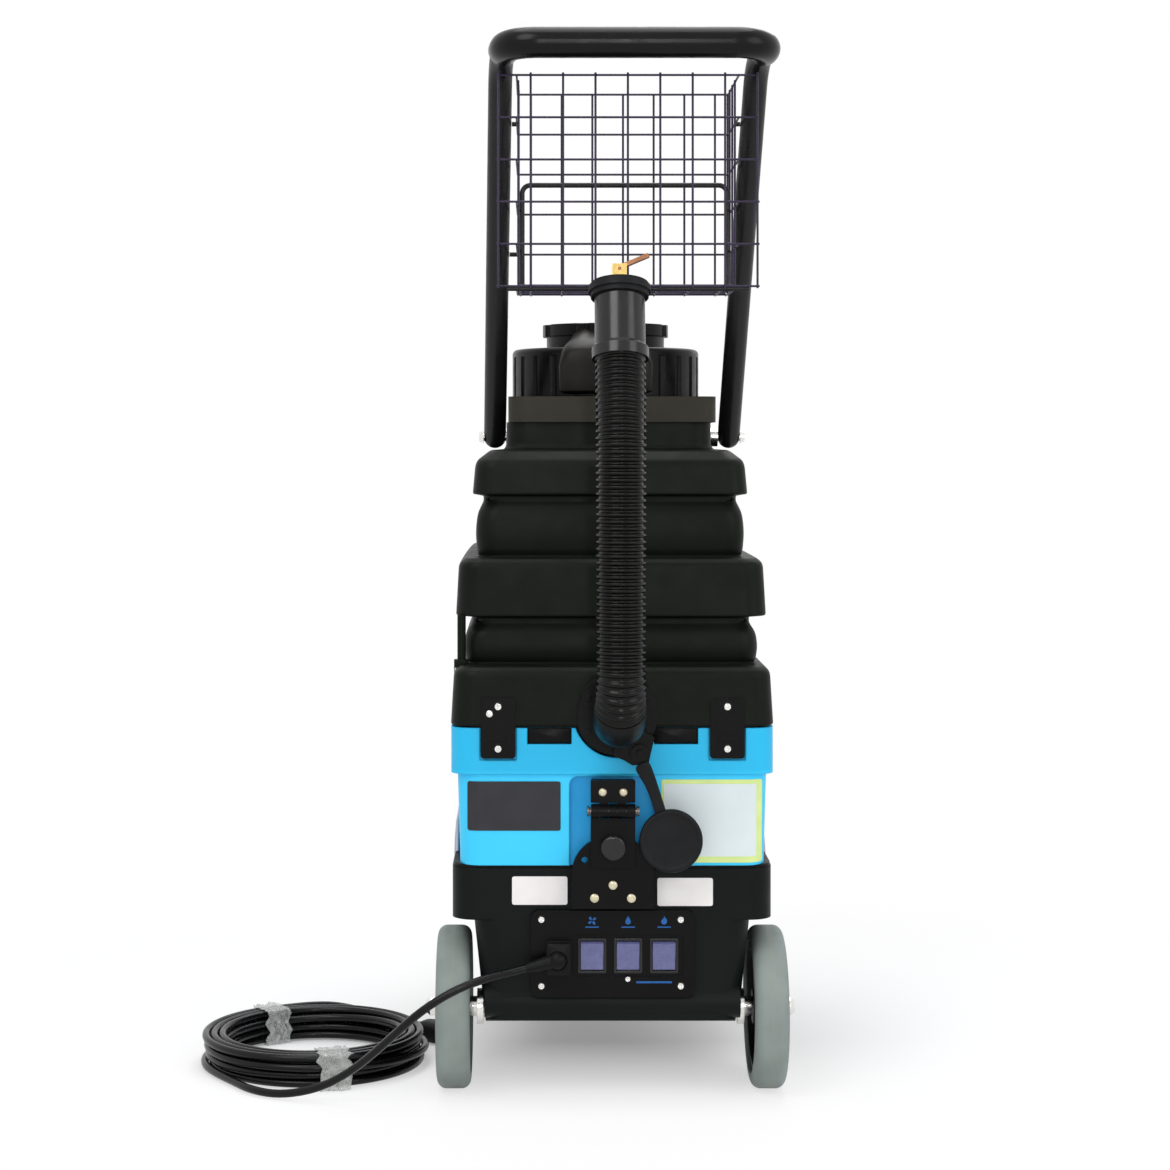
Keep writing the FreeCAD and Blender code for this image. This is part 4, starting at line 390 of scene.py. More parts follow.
def soften(corners):
    """Rounds each corner of a profile; a corner is (half, rear, front, z, reach)."""
    path = [corners[0][:4]]
    for number in range(1, len(corners) - 1):
        middle = Vector(corners[number][:4])
        reach = corners[number][4]
        ends = []
        for other in (corners[number - 1], corners[number + 1]):
            away = Vector(other[:4]) - middle
            length = max(away.length, 1e-6)
            longest = 0.45 * length  # so that two roundings on one edge never meet
            ends.append(middle + away * (min(reach, longest) / length))
        for share in (0, 0.2, 0.4, 0.6, 0.8, 1):
            path.append(tuple(ends[0] * (1 - share) ** 2 + middle * 2 * share * (1 - share)
                              + ends[1] * share ** 2))
    path.append(corners[-1][:4])
    return path


# Corners from the foot up: half width, rear y, front y, z and the reach of the rounding
tank_profile = [
    (146.5, -174.6, 272, 350.3, 0), (146.5, -174.6, 272, 352, 0.4), (150.3, -178.5, 275.6, 352, 2.0),
    (147.5, -175.8, 273, 401, 5), (141.5, -169.8, 267, 406.2, 3), (136, -138, 247, 406.2, 2),
    (137.6, -139.6, 248.6, 410.5, 3), (139, -141, 250, 421.5, 7), (137.4, -139.4, 248.4, 434, 6),
    (133, -135, 244, 441, 3), (131.5, -133.5, 242.5, 444, 2), (131.5, -133.5, 242.5, 449, 2),
    (146.6, -144.6, 253.6, 451, 2.5), (144, -142, 251, 500, 5), (138, -136, 245, 505.2, 3),
    (126, -108, 217, 505.2, 2), (127.6, -109.6, 218.6, 511, 3), (129, -111, 220, 528, 9),
    (127.2, -109.2, 218.2, 546, 8), (123, -105, 214, 555, 3), (121.5, -103.5, 212.5, 558, 2),
    (121.5, -103.5, 212.5, 563, 2), (131.7, -114.7, 223.7, 565, 2.5), (129, -112, 221, 596, 7),
    (115, -98, 207, 607.0, 6), (102, -71, 186, 608, 3), (100, -69, 184, 612, 3), (99.7, -68.7, 183.7, 634, 0),
]


def tank_shell():
    """From the foot up the outside, in through the neck and down round the room."""
    rings = [outline(*ring) for ring in soften(tank_profile)]
    lid_y, mouth_r, ceiling_z, ledge_z, floor_inside_z = 62.0, 76.2, 593.0, 462, 357
    aims = [(x, y - lid_y) for x, y, z in rings[-1]]
    for z in (634.0, 612.0, ceiling_z):
        rings.append([(mouth_r * x / math.hypot(x, y), lid_y + mouth_r * y / math.hypot(x, y), z)
                      for x, y in aims])
    upper_room, lower_room = (120, -102, 211), (130, -132, 241)
    for room, z in ((upper_room, ceiling_z), (upper_room, ledge_z),
                    (lower_room, ledge_z), (lower_room, floor_inside_z)):
        rings.append(outline(*room, z, radius=15, bow=0))
    verts, faces = skin_rings(rings)
    return piece("tank_shell", verts, faces, tank_black, "tanks", sharp=50)


shell = tank_shell()
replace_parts(shell, "recovery_tank")


backward = (0, -1, 0)


def disc_stack(name, centre, axis, stations, material, body, count=64, sharp=38):
    """A turned piece: stations are (distance along the axis, radius), closed at both ends."""
    axis = Vector(axis).normalized()
    across = axis.cross(Vector((0, 0, 1)))
    if across.length < 0.1:
        across = axis.cross(Vector((1, 0, 0)))
    across.normalize()
    other = axis.cross(across)
    verts, faces = skin_rings([round_ring(Vector(centre) + axis * along, across, other, radius, count)
                               for along, radius in stations])
    return piece(name, verts, faces, material, body, sharp=sharp)


disc_stack("sump_boss", (4, -147, 363), backward,
           [(0, 39), (29.5, 39), (31.0, 38.4), (31.8, 36.5), (31.9, 19)],
           tank_black, "tanks")


def lid_lobe():
    """The lid's moulded lobe that rises to the small cap, behind the hose's cuff."""
    stations = [(662, 41, -31), (665, 46, -37), (690, 47, -40), (704, 44, -39), (711, 40, -34),
                (718, 34, -17), (727, 30, 2), (731, 28, 7), (732.5, 25, 9)]
    middle_x, half_depth, count = -2, 16, 48
    rings = []
    for z, half, rear in stations:
        ring = []
        for k in range(count):
            angle = 2 * math.pi * k / count
            ring.append((middle_x + half * bulge(math.cos(angle), 0.7),
                         rear + half_depth + half_depth * bulge(math.sin(angle), 0.8), z))
        rings.append(ring)
    verts, faces = skin_rings(rings)
    return piece("lid_lobe", verts, faces, lobe_black, "lid_part", sharp=50)


lid_lobe()


# Drain hose: round ribs along the same centre line as the solid one
hose_x, port_z, hose_start_y = 4.0, 363.0, -185.0
hose_rear_y, low_bend_r, lean_r, lean_z, end_run = -282.0, 50.0, 200.0, 599.0, 45.0
lean = math.radians(16.0)
hose_stretches = [
    hose_start_y - hose_rear_y - low_bend_r, low_bend_r * math.pi / 2, lean_z - port_z - low_bend_r,
    lean_r * lean, end_run,
]


def hose_centre(distance):
    """A point on the hose's centre line and the unit vector it heads along."""
    run, bend, rise, arc = hose_stretches[:4]
    if distance < run:
        return Vector((hose_x, hose_start_y - distance, port_z)), Vector((0, -1, 0))
    distance -= run
    if distance < bend:
        turn = distance / low_bend_r
        return (Vector((hose_x, hose_rear_y + low_bend_r * (1 - math.sin(turn)),
                        port_z + low_bend_r * (1 - math.cos(turn)))),
                Vector((0, -math.cos(turn), math.sin(turn))))
    distance -= bend
    if distance < rise:
        return Vector((hose_x, hose_rear_y, port_z + low_bend_r + distance)), Vector((0, 0, 1))
    distance -= rise
    turn = min(distance / lean_r, lean)
    heading = Vector((0, math.sin(turn), math.cos(turn)))
    start = Vector((hose_x, hose_rear_y + lean_r * (1 - math.cos(turn)),
                    lean_z + lean_r * math.sin(turn)))
    return start + heading * max(distance - arc, 0), heading


def hose_ring(distance, radius):
    """A ring round the hose's centre line, square to it."""
    middle, heading = hose_centre(distance)
    across = Vector((1, 0, 0))
    return round_ring(middle, across, heading.cross(across), radius, 56)


def ribbed_hose():
    length = sum(hose_stretches)
    rib_pitch, per_rib, crest_at = 6.1, 9, 0.39
    middle_r, rib_height = 21.3, 1.25
    ribs = round(length / rib_pitch)
    rings = []
    for number in range(ribs * per_rib + 1):
        phase = (number % per_rib) / per_rib
        swell = max(math.cos(2 * math.pi * (phase - crest_at)), -1)
        rings.append(hose_ring(length * number / (ribs * per_rib),
                               middle_r + rib_height * bulge(swell, 0.55)))
    verts, faces = skin_rings(rings)
    return piece("ribbed_hose", verts, faces, hose_black, "tanks", sharp=70,
                 weighted=False)


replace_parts(ribbed_hose(), "drain_hose")


def elbow_sleeve():
    """A smooth moulded elbow over the hose's foot."""
    length = hose_stretches[0] + 0.5 * hose_stretches[1]
    steps, radius = 36, 23.7
    stations = [(length * number / steps, radius) for number in range(steps - 1)]
    stations += [(length - 1.0, 23.6), (length - 0.2, 23.2), (length, 22.0)]
    verts, faces = skin_rings([hose_ring(*station) for station in stations])
    return piece("elbow_sleeve", verts, faces, deep_black, "tanks", sharp=50)


elbow_sleeve()


# Mains cord: lead and coil on one smooth line
cord_r, coil_x, coil_y, floor_z = 3.8, -290.0, -14.0, 5.0
loop_r, coil_step, layers, start_deg, sweep_deg = 110.2, 8.2, 4, 215.0, 4065.0
tail_deg, tail_out, plug_lie_z = 60.0, 22.0, 11.3


def ease(share):
    """A soft start and stop between 0 and 1."""
    return share * share * (3 - 2 * share)


def coil_point(turned):
    """The coil's line: in and out across four layers, then a tail down to the floor."""
    climb = 0.25  # turns on either side of a border in which the line climbs a layer
    turns = min(turned, sweep_deg) / 360
    layer_turns = sweep_deg / 360 / layers
    layer = min(int(turns / layer_turns), layers - 1)
    along = turns - layer * layer_turns
    inward = along if layer % 2 == 0 else layer_turns - along
    radius = loop_r - coil_step * inward
    height = layer
    for border in range(1, layers):
        offset = turns - border * layer_turns
        if abs(offset) <= climb:
            height = border - 1 + ease((offset + climb) / (2 * climb))
    z = floor_z + height * coil_step
    if turned > sweep_deg:
        share = (turned - sweep_deg) / tail_deg
        radius += tail_out * ease(min(share / 0.7, 1)) + coil_step * (turned - sweep_deg) / 360
        z -= (z - plug_lie_z) * ease(max((share - 0.25) / 0.75, 0))
    angle = math.radians(start_deg - turned)
    return Vector((coil_x + radius * math.cos(angle), coil_y + radius * math.sin(angle), z))


def coil_heading(turned):
    high = min(turned + 0.5, sweep_deg + tail_deg)
    return (coil_point(high) - coil_point(max(turned - 0.5, 0))).normalized()


boot_heading, boot_length = Vector((-0.965, -0.13, -0.225)).normalized(), 30
cord_exit = Vector((-51, -185, 137)) + boot_heading * boot_length
coil_start = coil_point(0)
lead = [cord_exit, cord_exit + boot_heading * 16]
lead += [Vector(place) for place in (
    (-112, -197, 124.5), (-146, -205, 114), (-179, -206, 93), (-209, -194, 63), (-239, -176, 34),
    (-272, -163, 13), (-309, -155, 4.6), (-339, -139, floor_z))]
lead += [coil_start - coil_heading(0) * 34, coil_start]
last_deg = sweep_deg + tail_deg
turn_step, tail_steps = 15, 5
coil = [coil_point(turn_step * k) for k in range(1, int(sweep_deg / turn_step) + 1)]
coil += [coil_point(sweep_deg + tail_deg * k / tail_steps) for k in range(1, tail_steps + 1)]
coil_end = coil_point(last_deg) + coil_heading(last_deg) * 2 * cord_r

cord_curve = tube_curve("mains_cord", cord_r, 5, cord_black)
cord_curve.resolution_u = 5
cord_line = add_run(cord_curve, "NURBS", lead + coil + [coil_end])
cord_line.order_u = 3
cord_line.use_endpoint_u = True
mains_cord = place_piece("mains_cord", cord_curve, "base")
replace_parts(mains_cord, "mains_lead", "cord_coil")


def tie_band(name, angle_deg, width, seed):
    """A crumpled clear band round the bundle of turns."""
    slack, film_low, side_steps, strips = 1.2, 0.5, 8, 13
    crumple_size, lift_size, shift_size = 3.4, 3.0, 6.0
    inner = loop_r - coil_step * sweep_deg / 360 / layers - cord_r - slack
    outer = loop_r + cord_r + slack
    low, top = film_low, floor_z + (layers - 1) * coil_step + cord_r + slack
    path = []
    for x0, z0, x1, z1 in ((inner, low, outer, low), (outer, low, outer, top),
                           (outer, top, inner, top), (inner, top, inner, low)):
        for step in range(side_steps):
            share = step / side_steps
            path.append((x0 + (x1 - x0) * share, z0 + (z1 - z0) * share))
    angle = math.radians(angle_deg)
    rings = []
    for row in range(strips):
        across = width * (row / (strips - 1) - 0.5)
        ring = []
        for number, (radial, z) in enumerate(path):
            radial += noise.noise(Vector((number * 0.8, row * 0.9, seed))) * crumple_size
            lift = noise.noise(Vector((number * 0.9, row * 1.0, seed + 9))) * lift_size
            side = across + noise.noise(Vector((number * 0.5, seed, 3))) * shift_size
            ring.append((coil_x + radial * math.cos(angle) - side * math.sin(angle),
                         coil_y + radial * math.sin(angle) + side * math.cos(angle),
                         max(z + lift, film_low)))
        rings.append(ring)
    verts, faces = skin_rings(rings, closed_ends=False)
    made = piece(name, verts, faces, tie_clear, "base", sharp=60, weighted=False)
    thick = made.modifiers.new("thick", "SOLIDIFY")
    thick.thickness = 0.35 * MM
    thick.offset = 0
    return made


tie_a = tie_band("tie_band_a", 122, 26, 2.0)
tie_b = tie_band("tie_band_b", 285, 30, 7.0)
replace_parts(tie_a, "cord_ties")


def plug_pieces():
    """A moulded plug with bright pins, at the cord's end on the floor."""
    heading = coil_heading(last_deg)
    across = Vector((0, 0, 1)).cross(heading).normalized()
    up = heading.cross(across)
    turn = Matrix((across, up, heading)).transposed()
    stations = [(0, 4.6, 4.6), (3, 5.4, 5.4), (7, 5.6, 5.6), (8, 6.6, 6.6), (13, 7.2, 7.0),
                (15, 9.5, 8.6), (18, 11.6, 10.2), (24, 12.3, 10.8), (34, 12.4, 10.9),
                (38, 12.2, 10.7), (40, 11.2, 9.8)]
    boot_end, body_power, pin_power = 14, 0.62, 0.5

    def plug_ring(x, y, along, half_x, half_y, power, count):
        angles = [2 * math.pi * k / count for k in range(count)]
        return [tuple(coil_end + turn @ Vector((x + half_x * bulge(math.cos(a), power),
                                                y + half_y * bulge(math.sin(a), power), along)))
                for a in angles]

    verts, faces = skin_rings([plug_ring(0, 0, along, half_x, half_y,
                                         body_power if along > boot_end else 1.0, 40)
                               for along, half_x, half_y in stations])
    body = piece("plug_body", verts, faces, rubber_black, "base", sharp=45)
    verts, faces = [], []
    for x, y, half_x, half_y in ((-6.4, 0, 0.8, 3.1), (6.4, 0, 0.8, 3.1), (0, -7, 2.3, 2.3)):
        more, shapes = skin_rings([plug_ring(x, y, along, half_x * shrink, half_y * shrink, pin_power, 24)
                                   for along, shrink in ((39, 1), (55, 1), (56.4, 0.85), (57, 0.5))])
        faces += [tuple(i + len(verts) for i in face) for face in shapes]
        verts += more
    pins = piece("plug_pins", verts, faces, bright_steel, "base", sharp=45)
    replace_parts(body, "mains_plug")
    return [body, pins]


plug_body, plug_pins = plug_pieces()


# Wire basket: round welded wires in place of the plain grids
basket_x, rear_y, front_y, basket_floor = 13.0, -204.0, -79.0, 757.0
pitch_x, pitch_z, cells, rows = 29.6, 38.6, 8, 5
basket_half = pitch_x * cells / 2
basket_left, basket_right = basket_x - basket_half, basket_x + basket_half
basket_top = basket_floor + rows * pitch_z
side_half = 101.0
wire_r = 1.05
lap = 1.0
rear_gap = 2.0  # from the rear grid's plane to the ends of the wires that meet it
row_heights = [basket_floor + number * pitch_z for number in range(rows + 1)]
side_depths = [rear_y + 2.2 + (front_y - rear_y - 4.4) * number / 4 for number in range(5)]


def column_places(inset):
    """The x of each column inside the basket, with the outer two moved in."""
    return ([basket_x - side_half + inset] + [basket_x + k * pitch_x for k in range(-3, 4)]
            + [basket_x + side_half - inset])


def rear_wires():
    cross, past = lap * 0.9, 2
    runs = []
    for number in range(cells + 1):
        x = basket_left + number * pitch_x
        runs.append([(x, rear_y - cross, basket_floor - past), (x, rear_y - cross, basket_top + past)])
    for z in row_heights:
        runs.append([(basket_left - past, rear_y + cross, z), (basket_right + past, rear_y + cross, z)])
    return runs


def inner_wires():
    shift = 0.6
    runs = [[(x, front_y, basket_floor), (x, front_y, basket_top)] for x in column_places(0)]
    for z in row_heights:
        runs.append([(basket_x - side_half, front_y - lap, z), (basket_x + side_half, front_y - lap, z)])
        for side in (-1, 1):
            x = basket_x + side * (side_half + shift)
            runs.append([(x, rear_y + rear_gap, z), (x, front_y, z)])
    for side in (-1, 1):
        x = basket_x + side * (side_half - shift)
        runs += [[(x, y, basket_floor), (x, y, basket_top)] for y in side_depths[1:-1]]
    return runs


def floor_wires():
    columns = column_places(2.2)
    under, above = basket_floor - 0.9, basket_floor + 0.7
    runs = [[(x, rear_y + rear_gap, under), (x, front_y - rear_gap, under)] for x in columns]
    runs += [[(columns[0], y, above), (columns[-1], y, above)] for y in side_depths]
    return runs


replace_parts(wires("basket_rear_wires", rear_wires(), wire_r, wire_black, "handle"),
            "basket_rear_grid")
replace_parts(wires("basket_inner_wires", inner_wires(), wire_r, wire_black, "handle"),
            "basket_inner_grids")
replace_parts(wires("basket_floor_wires", floor_wires(), wire_r, wire_black, "handle"),
            "basket_floor_grid")
bar_y, bar_z, bar_r, bar_inset = rear_y + 2.4, basket_floor - 2.2, 2.3, 8
bar_ends = [(basket_left + bar_inset, bar_y, bar_z), (basket_right - bar_inset, bar_y, bar_z)]
wires("basket_floor_bar", [bar_ends], bar_r, painted_black, "handle")


# Bare plates on the tank and the base
def blue_skin(x, z):
    """The blue tank's rear wall and its round corners: a point and its outward direction."""
    flange_z, half, wall_y, corner_r = 307, 144, -174, 20
    taper, taper_height = 2.3, 85
    draft = taper * max(flange_z - z, 0) / taper_height
    edge = half - draft - corner_r
    rear = wall_y + draft
    if abs(x) <= edge:
        return x, rear, 0, -1
    angle = math.asin(min((abs(x) - edge) / corner_r, 0.99))
    return (x, rear + corner_r - corner_r * math.cos(angle),
            math.copysign(math.sin(angle), x), -math.cos(angle))


def base_skin(x, z):
    """The base's flat rear wall."""
    return x, -169.0, 0, -1


def skin_plate(name, x0, x1, z0, z1, skin, out, material, body, corner=2.0):
    """A thin bare plate with round corners that follows a wall."""
    columns, under = 26, 0.1
    corner_steps = [corner * (1 - math.cos(math.radians(a))) for a in (0, 22, 45, 67, 90)]
    levels = [z0 + d for d in corner_steps] + [(z0 + z1) / 2]
    levels += [z1 - d for d in reversed(corner_steps)]
    front, back = [], []
    for z in levels:
        depth = min(z - z0, z1 - z)
        inset = 0
        if depth < corner:
            inset = corner - math.sqrt(max(corner ** 2 - (corner - depth) ** 2, 0))
        for k in range(columns):
            x = x0 + inset + (x1 - x0 - 2 * inset) * k / (columns - 1)
            px, py, nx, ny = skin(x, z)
            front.append((px + nx * out, py + ny * out, z))
            back.append((px - nx * under, py - ny * under, z))
    verts = front + back
    shift = len(front)
    faces = []
    for row in range(len(levels) - 1):
        for k in range(columns - 1):
            a, b = row * columns + k, row * columns + k + 1
            c, d = b + columns, a + columns
            faces.append((a, b, c, d))
            faces.append((a + shift, d + shift, c + shift, b + shift))
    rim = list(range(columns))
    rim += [row * columns + columns - 1 for row in range(1, len(levels))]
    rim += [(len(levels) - 1) * columns + k for k in range(columns - 2, -1, -1)]
    rim += [row * columns for row in range(len(levels) - 2, 0, -1)]
    for k in range(len(rim)):
        a, b = rim[k], rim[(k + 1) % len(rim)]
        faces.append((b, a, a + shift, b + shift))
    return piece(name, verts, faces, material, body, sharp=40, weighted=False)


skin_plate("plate_dark_left", -134.3, -48.2, 254.4, 300.2, blue_skin, 0.6,
           plate_dark, "tanks")
skin_plate("plate_border_right", 45.3, 138.7, 224.7, 302.0, blue_skin, 0.5,
           plate_edge, "tanks")
skin_plate("plate_white_right", 47.5, 133.0, 230.5, 298.0, blue_skin, 0.8,
           plate_white, "tanks", corner=1.0)
skin_plate("plate_base_left", -93.2, -41.8, 185.1, 211.4, base_skin, 0.5,
           plate_paper, "base")
skin_plate("plate_base_right", 41.7, 93.2, 184.0, 210.0, base_skin, 0.5,
           plate_paper, "base")


# Panel symbols: a fan, a drop and a flame above their switches, each over a short bar
def flat_shape(name, outlines, y, out, material, body):
    """Flat outlines in x and z that stand out from a rear wall at y."""
    under = 0.1
    verts, faces = [], []
    for outline_points in outlines:
        start = len(verts)
        count = len(outline_points)
        verts += [(x, y - out, z) for x, z in outline_points]
        verts += [(x, y + under, z) for x, z in outline_points]
        faces.append(tuple(start + k for k in range(count)))
        faces.append(tuple(start + count + k for k in reversed(range(count))))
        for k in range(count):
            after = (k + 1) % count
            faces.append((start + after, start + k, start + count + k, start + count + after))
    return piece(name, verts, faces, material, body, sharp=30, weighted=False)


def bar_outline(x, z, half, rise):
    return [(x - half, z), (x + half, z), (x + half, z + rise), (x - half, z + rise)]


def drop_outline(x, z, size):
    radius, steps = 0.72 * size, 12
    points = [(x, z + 1.5 * size)]
    for k in range(steps + 1):
        angle = math.radians(30 - 240 * k / steps)
        points.append((x + radius * math.cos(angle), z + radius * math.sin(angle)))
    return points


def flame_outline(x, z, size):
    shape = [(0, 1.7), (0.25, 1.1), (0.62, 0.75), (0.85, 0.15), (0.7, -0.4), (0.3, -0.75),
             (-0.3, -0.75), (-0.7, -0.4), (-0.85, 0.15), (-0.5, 0.55), (-0.35, 0.95), (-0.15, 0.7)]
    return [(x + a * size, z + b * size) for a, b in shape]


def fan_outlines(x, z, size):
    blades = []
    for blade in range(4):
        turn = math.radians(90 * blade + 20)
        points = []
        for a, b in ((0.15, 0.1), (0.6, -0.15), (1.15, 0.0), (1.25, 0.4), (0.9, 0.65), (0.4, 0.45)):
            points.append((x + size * (a * math.cos(turn) - b * math.sin(turn)),
                           z + size * (a * math.sin(turn) + b * math.cos(turn))))
        blades.append(points)
    return blades


PANEL_Y, PRINT_OUT = -175.0, 0.25
fan_x, drop_x, flame_x = -19, 14.3, 47.6
symbols = fan_outlines(fan_x, 171.5, 3.4)
symbols += [drop_outline(drop_x, 170.6, 3.6), flame_outline(flame_x, 170.6, 3.4)]
symbols += [bar_outline(x, 165.0, 6.2, 1.1) for x in (fan_x, drop_x, flame_x)]
flat_shape("panel_symbols", symbols, PANEL_Y, PRINT_OUT, print_blue, "base")
flat_shape("panel_bar", [bar_outline(38.3, 113.6, 16.5, 1.8)], PANEL_Y, PRINT_OUT,
           print_blue, "base")


# Small pieces on the rear walls
def rounded_block(name, x, z, stations, material, body):
    """A block that stands out from a rear wall: stations are (y, half width, half height, corner)."""
    corner_steps = 4
    rings = []
    for y, half_x, half_z, corner in stations:
        ring = []
        for side_x, side_z, start in ((1, 1, 0), (-1, 1, 90), (-1, -1, 180), (1, -1, 270)):
            for step in range(corner_steps + 1):
                angle = math.radians(start + 90 * step / corner_steps)
                ring.append((x + side_x * (half_x - corner) + corner * math.cos(angle), y,
                             z + side_z * (half_z - corner) + corner * math.sin(angle)))
        rings.append(ring)
    verts, faces = skin_rings(rings)
    return piece(name, verts, faces, material, body, sharp=40, weighted=False)


# Black plates in the two slots at the top of the blue tank: painted shade that makes the slots dark
for side in (-1, 1):
    rounded_block("tank_slot_shade", side * 58.5, 342.4,
                  [(-173.6, 20.5, 7.4, 2.0), (-174.4, 20.5, 7.4, 2.0), (-174.7, 20.0, 6.9, 1.6)],
                  plate_black, "tanks")
rounded_block("gland_block", -50.0, 138.0,
              [(-174.9, 11.5, 15.0, 2.5), (-178, 11.5, 15.0, 2.5), (-178.4, 10.6, 14.2, 2.2),
               (-182, 10.6, 14.2, 2.2), (-182.4, 11.2, 14.8, 2.4), (-187, 11.0, 14.5, 2.4),
               (-189, 8.5, 12.0, 3.0)],
              deep_black, "base")
disc_stack("bracket_screw", (-113.9, -180, 363.5), backward, [(-1, 3.3), (0.9, 3.1), (1.6, 1.9)],
           bright_steel, "tanks", count=32)
for x, z in ((0, 206), (-17, 194), (17, 194)):
    disc_stack("hinge_screw", (x, -184, z), backward, [(0, 4.1), (1.2, 4.1), (2.2, 3.2), (2.5, 1.8)],
               cream, "base", count=32)
for x in (-9.5, 9.5):
    disc_stack("leaf_screw", (x, -187, 292), backward, [(0, 3.7), (1.0, 3.7), (2.0, 2.8), (2.2, 1.6)],
               cream, "tanks", count=32)


# Pale side lips that keep the tanks from sliding
def side_lip(name, side):
    stations = [(-92, 0), (-84, 22), (-70, 30), (0, 33), (70, 33), (150, 30), (164, 22), (172, 0)]
    foot_z, least_rise = 219, 0.4
    rings = []
    for y, rise in stations:
        top = foot_z + 0.2 + max(rise, least_rise)
        shoulder, edge = foot_z + (top - foot_z) * 0.6, top - 0.8
        ring = [(144.9, foot_z), (149.2, foot_z), (149.4, shoulder), (148.3, edge), (147.0, top),
                (145.6, edge), (144.9, shoulder)]
        ring = [(side * x, y, max(z, foot_z)) for x, z in ring]
        rings.append(ring if side < 0 else ring[::-1])
    verts, faces = skin_rings(rings)
    return piece(name, verts, faces, lip_grey, "base", sharp=50)


side_lip("side_lip_left", -1)
side_lip("side_lip_right", 1)


# Rubber strap and cap below the port
def hanging_strap():
    """A strap that curves from the eyelet down to the round cap."""
    centre = [(25.0, 320.0), (29.0, 313), (33.8, 303), (38.0, 292), (41.5, 281), (44.5, 271),
              (46.5, 263)]
    halves = [7.8, 7.2, 6.0, 5.3, 5.2, 5.6, 6.8]
    section = [(1, 0), (0.93, 1), (0.5, 1.1), (0, 1.1), (-0.5, 1.1), (-0.93, 1), (-1, 0), (-0.93, -1),
               (0, -1), (0.93, -1)]
    strap_y, half_thick = -193.5, 1.45
    rings = []
    for number, ((x, z), half) in enumerate(zip(centre, halves)):
        low = centre[max(number - 1, 0)]
        high = centre[min(number + 1, len(centre) - 1)]
        along = Vector((high[0] - low[0], 0, high[1] - low[1])).normalized()
        side = Vector((along.z, 0, -along.x))
        ring = []
        for a, b in section:
            place = Vector((x, strap_y, z)) + side * a * half
            ring.append((place.x, place.y - b * half_thick, place.z))
        rings.append(ring)
    verts, faces = skin_rings(rings)
    strap = piece("hanging_strap", verts, faces, rubber_black, "strap_part", sharp=60)
    smooth = strap.modifiers.new("smooth", "SUBSURF")
    smooth.levels = smooth.render_levels = 2
    strap.modifiers.move(1, 0)
    cap = disc_stack("hanging_cap", (53, -190.8, 248.5), backward,
                     [(0, 26.5), (0.8, 28.2), (2.0, 29.0), (4.4, 29.2), (6.0, 28.6), (6.9, 27.2),
                      (7.0, 25.4), (6.2, 24.6), (5.9, 23), (6.0, 14), (6.3, 0.5)],
                     rubber_black, "strap_part", sharp=60)
    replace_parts(cap, "strap_cap")


hanging_strap()
root_outline = [(0, 326), (9, 322.5), (17.6, 317.5), (32.4, 317.5), (34.5, 328), (38, 343),
                (22, 352), (2, 344)]
flat_shape("strap_root", [root_outline], -185.0, 6.6, deep_black, "tanks")


# Floor, lights and camera
def floor_material():
    """White, glowing to the camera more far off and towards the front: painted light that leaves a soft
    shadow under and behind the machine only.
    """
    floor = bpy.data.materials.new("floor")
    floor.use_nodes = True
    tree = floor.node_tree
    tree.nodes.clear()
    new, link = tree.nodes.new, tree.links.new
    output = new("ShaderNodeOutputMaterial")
    mix = new("ShaderNodeMixShader")
    diffuse = new("ShaderNodeBsdfDiffuse")
    diffuse.inputs["Color"].default_value = (0.93, 0.93, 0.93, 1)
    glow = new("ShaderNodeEmission")
    glow.inputs["Strength"].default_value = 1.0
    place = new("ShaderNodeTexCoord").outputs["Object"]
    away = new("ShaderNodeVectorMath")
    away.operation = "LENGTH"
    link(place, away.inputs[0])
    # Glow seen by the camera rises with distance and towards the front: painted light that fades the floor's
    # shadow there
    far = span_of(tree, away.outputs["Value"], 0.50, 1.05, 0.22, 1.0)
    ahead = span_of(tree, axes_of(tree, place)[1], 0.16, -0.22, 0.0, 0.92)
    painted_glow_share = math_of(tree, "MAXIMUM", far, ahead)
    link(math_of(tree, "MULTIPLY", seen_rays(tree), painted_glow_share), mix.inputs["Fac"])
    link(diffuse.outputs["BSDF"], mix.inputs[1])
    link(glow.outputs["Emission"], mix.inputs[2])
    link(mix.outputs["Shader"], output.inputs["Surface"])
    return floor


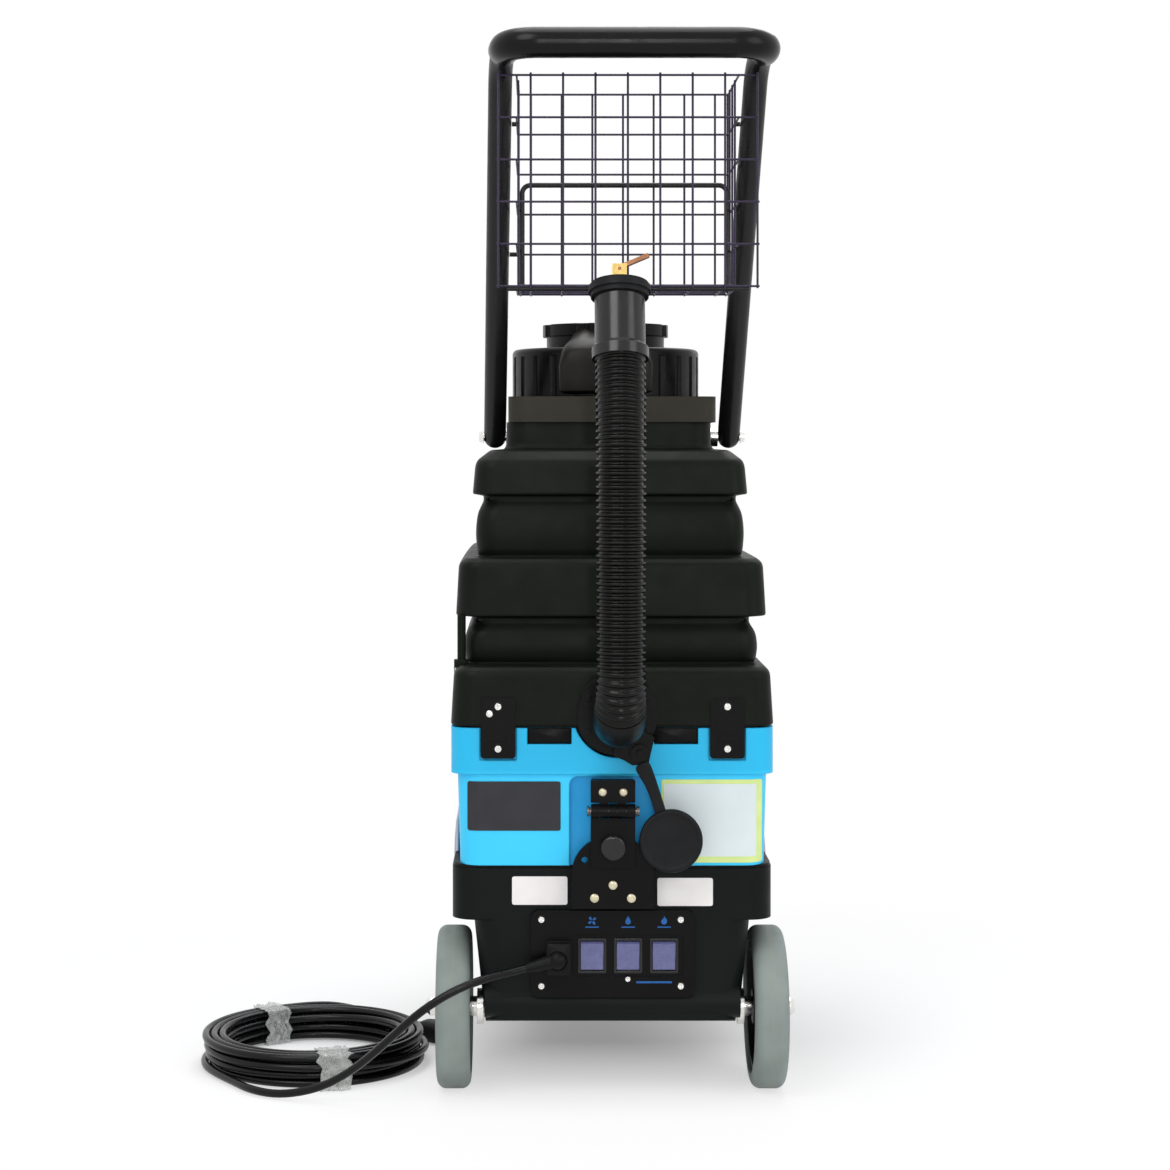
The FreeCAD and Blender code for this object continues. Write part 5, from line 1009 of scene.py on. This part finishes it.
def stage():
    mesh = bpy.data.meshes.new("studio_floor")
    size, drop = 14.0, 0.0004
    corners = [(-size, -size, 0), (size, -size, 0), (size, size, 0), (-size, size, 0)]
    mesh.from_pydata(corners, [], [(0, 1, 2, 3)])
    mesh.materials.append(floor_material())
    ground = bpy.data.objects.new("studio_floor", mesh)
    ground.location = (0, 0, -drop)
    bpy.context.scene.collection.objects.link(ground)

    world = bpy.data.worlds.new("studio")
    bpy.context.scene.world = world
    world.use_nodes = True
    tree = world.node_tree
    tree.nodes.clear()
    output = tree.nodes.new("ShaderNodeOutputWorld")
    sky = tree.nodes.new("ShaderNodeBackground")
    sky.inputs["Color"].default_value = (1, 1, 1, 1)
    level = span_of(tree, seen_rays(tree), 0.0, 1.0, 0.50, 1.0)
    tree.links.new(level, sky.inputs["Strength"])
    tree.links.new(sky.outputs["Background"], output.inputs["Surface"])


def lamp(name, place, aim, size, energy, height=0):
    """A round area light, or a tall one where a height is given; lengths in metres."""
    data = bpy.data.lights.new(name, "AREA")
    data.shape = "RECTANGLE" if height else "DISK"
    data.size = size
    if height:
        data.size_y = height
    data.energy = energy
    light = bpy.data.objects.new(name, data)
    light.location = place
    light.rotation_euler = (Vector(aim) - Vector(place)).to_track_quat("-Z", "Y").to_euler()
    bpy.context.scene.collection.objects.link(light)


def camera():
    """Level, straight behind the machine; the shifts set the photo's frame."""
    data = bpy.data.cameras.new("camera")
    data.lens = 74.09
    data.sensor_width = 36.0
    data.sensor_fit = "HORIZONTAL"
    data.shift_x = 0.041
    data.shift_y = -0.118
    view = bpy.data.objects.new("camera", data)
    view.location = (-0.070, -2.404, 0.610)
    view.rotation_euler = (math.radians(90), 0, 0)
    bpy.context.scene.collection.objects.link(view)
    bpy.context.scene.camera = view


stage()
lamp("key", (-1.1, -1.9, 2.3), (0, 0, 0.5), 1.5, 24)
lamp("fill", (1.7, -1.5, 1.3), (0, 0, 0.5), 1.4, 11)
lamp("rim", (0.4, 1.8, 2.4), (0, 0, 0.6), 1.6, 14)
lamp("top", (0, 0.1, 2.7), (0, 0.05, 0), 1.9, 28)
lamp("strip", (0.08, -3.0, 1.0), (0, -0.2, 0.5), 0.12, 10, height=1.3)
camera()
bpy.context.scene.view_settings.view_transform = "Standard"
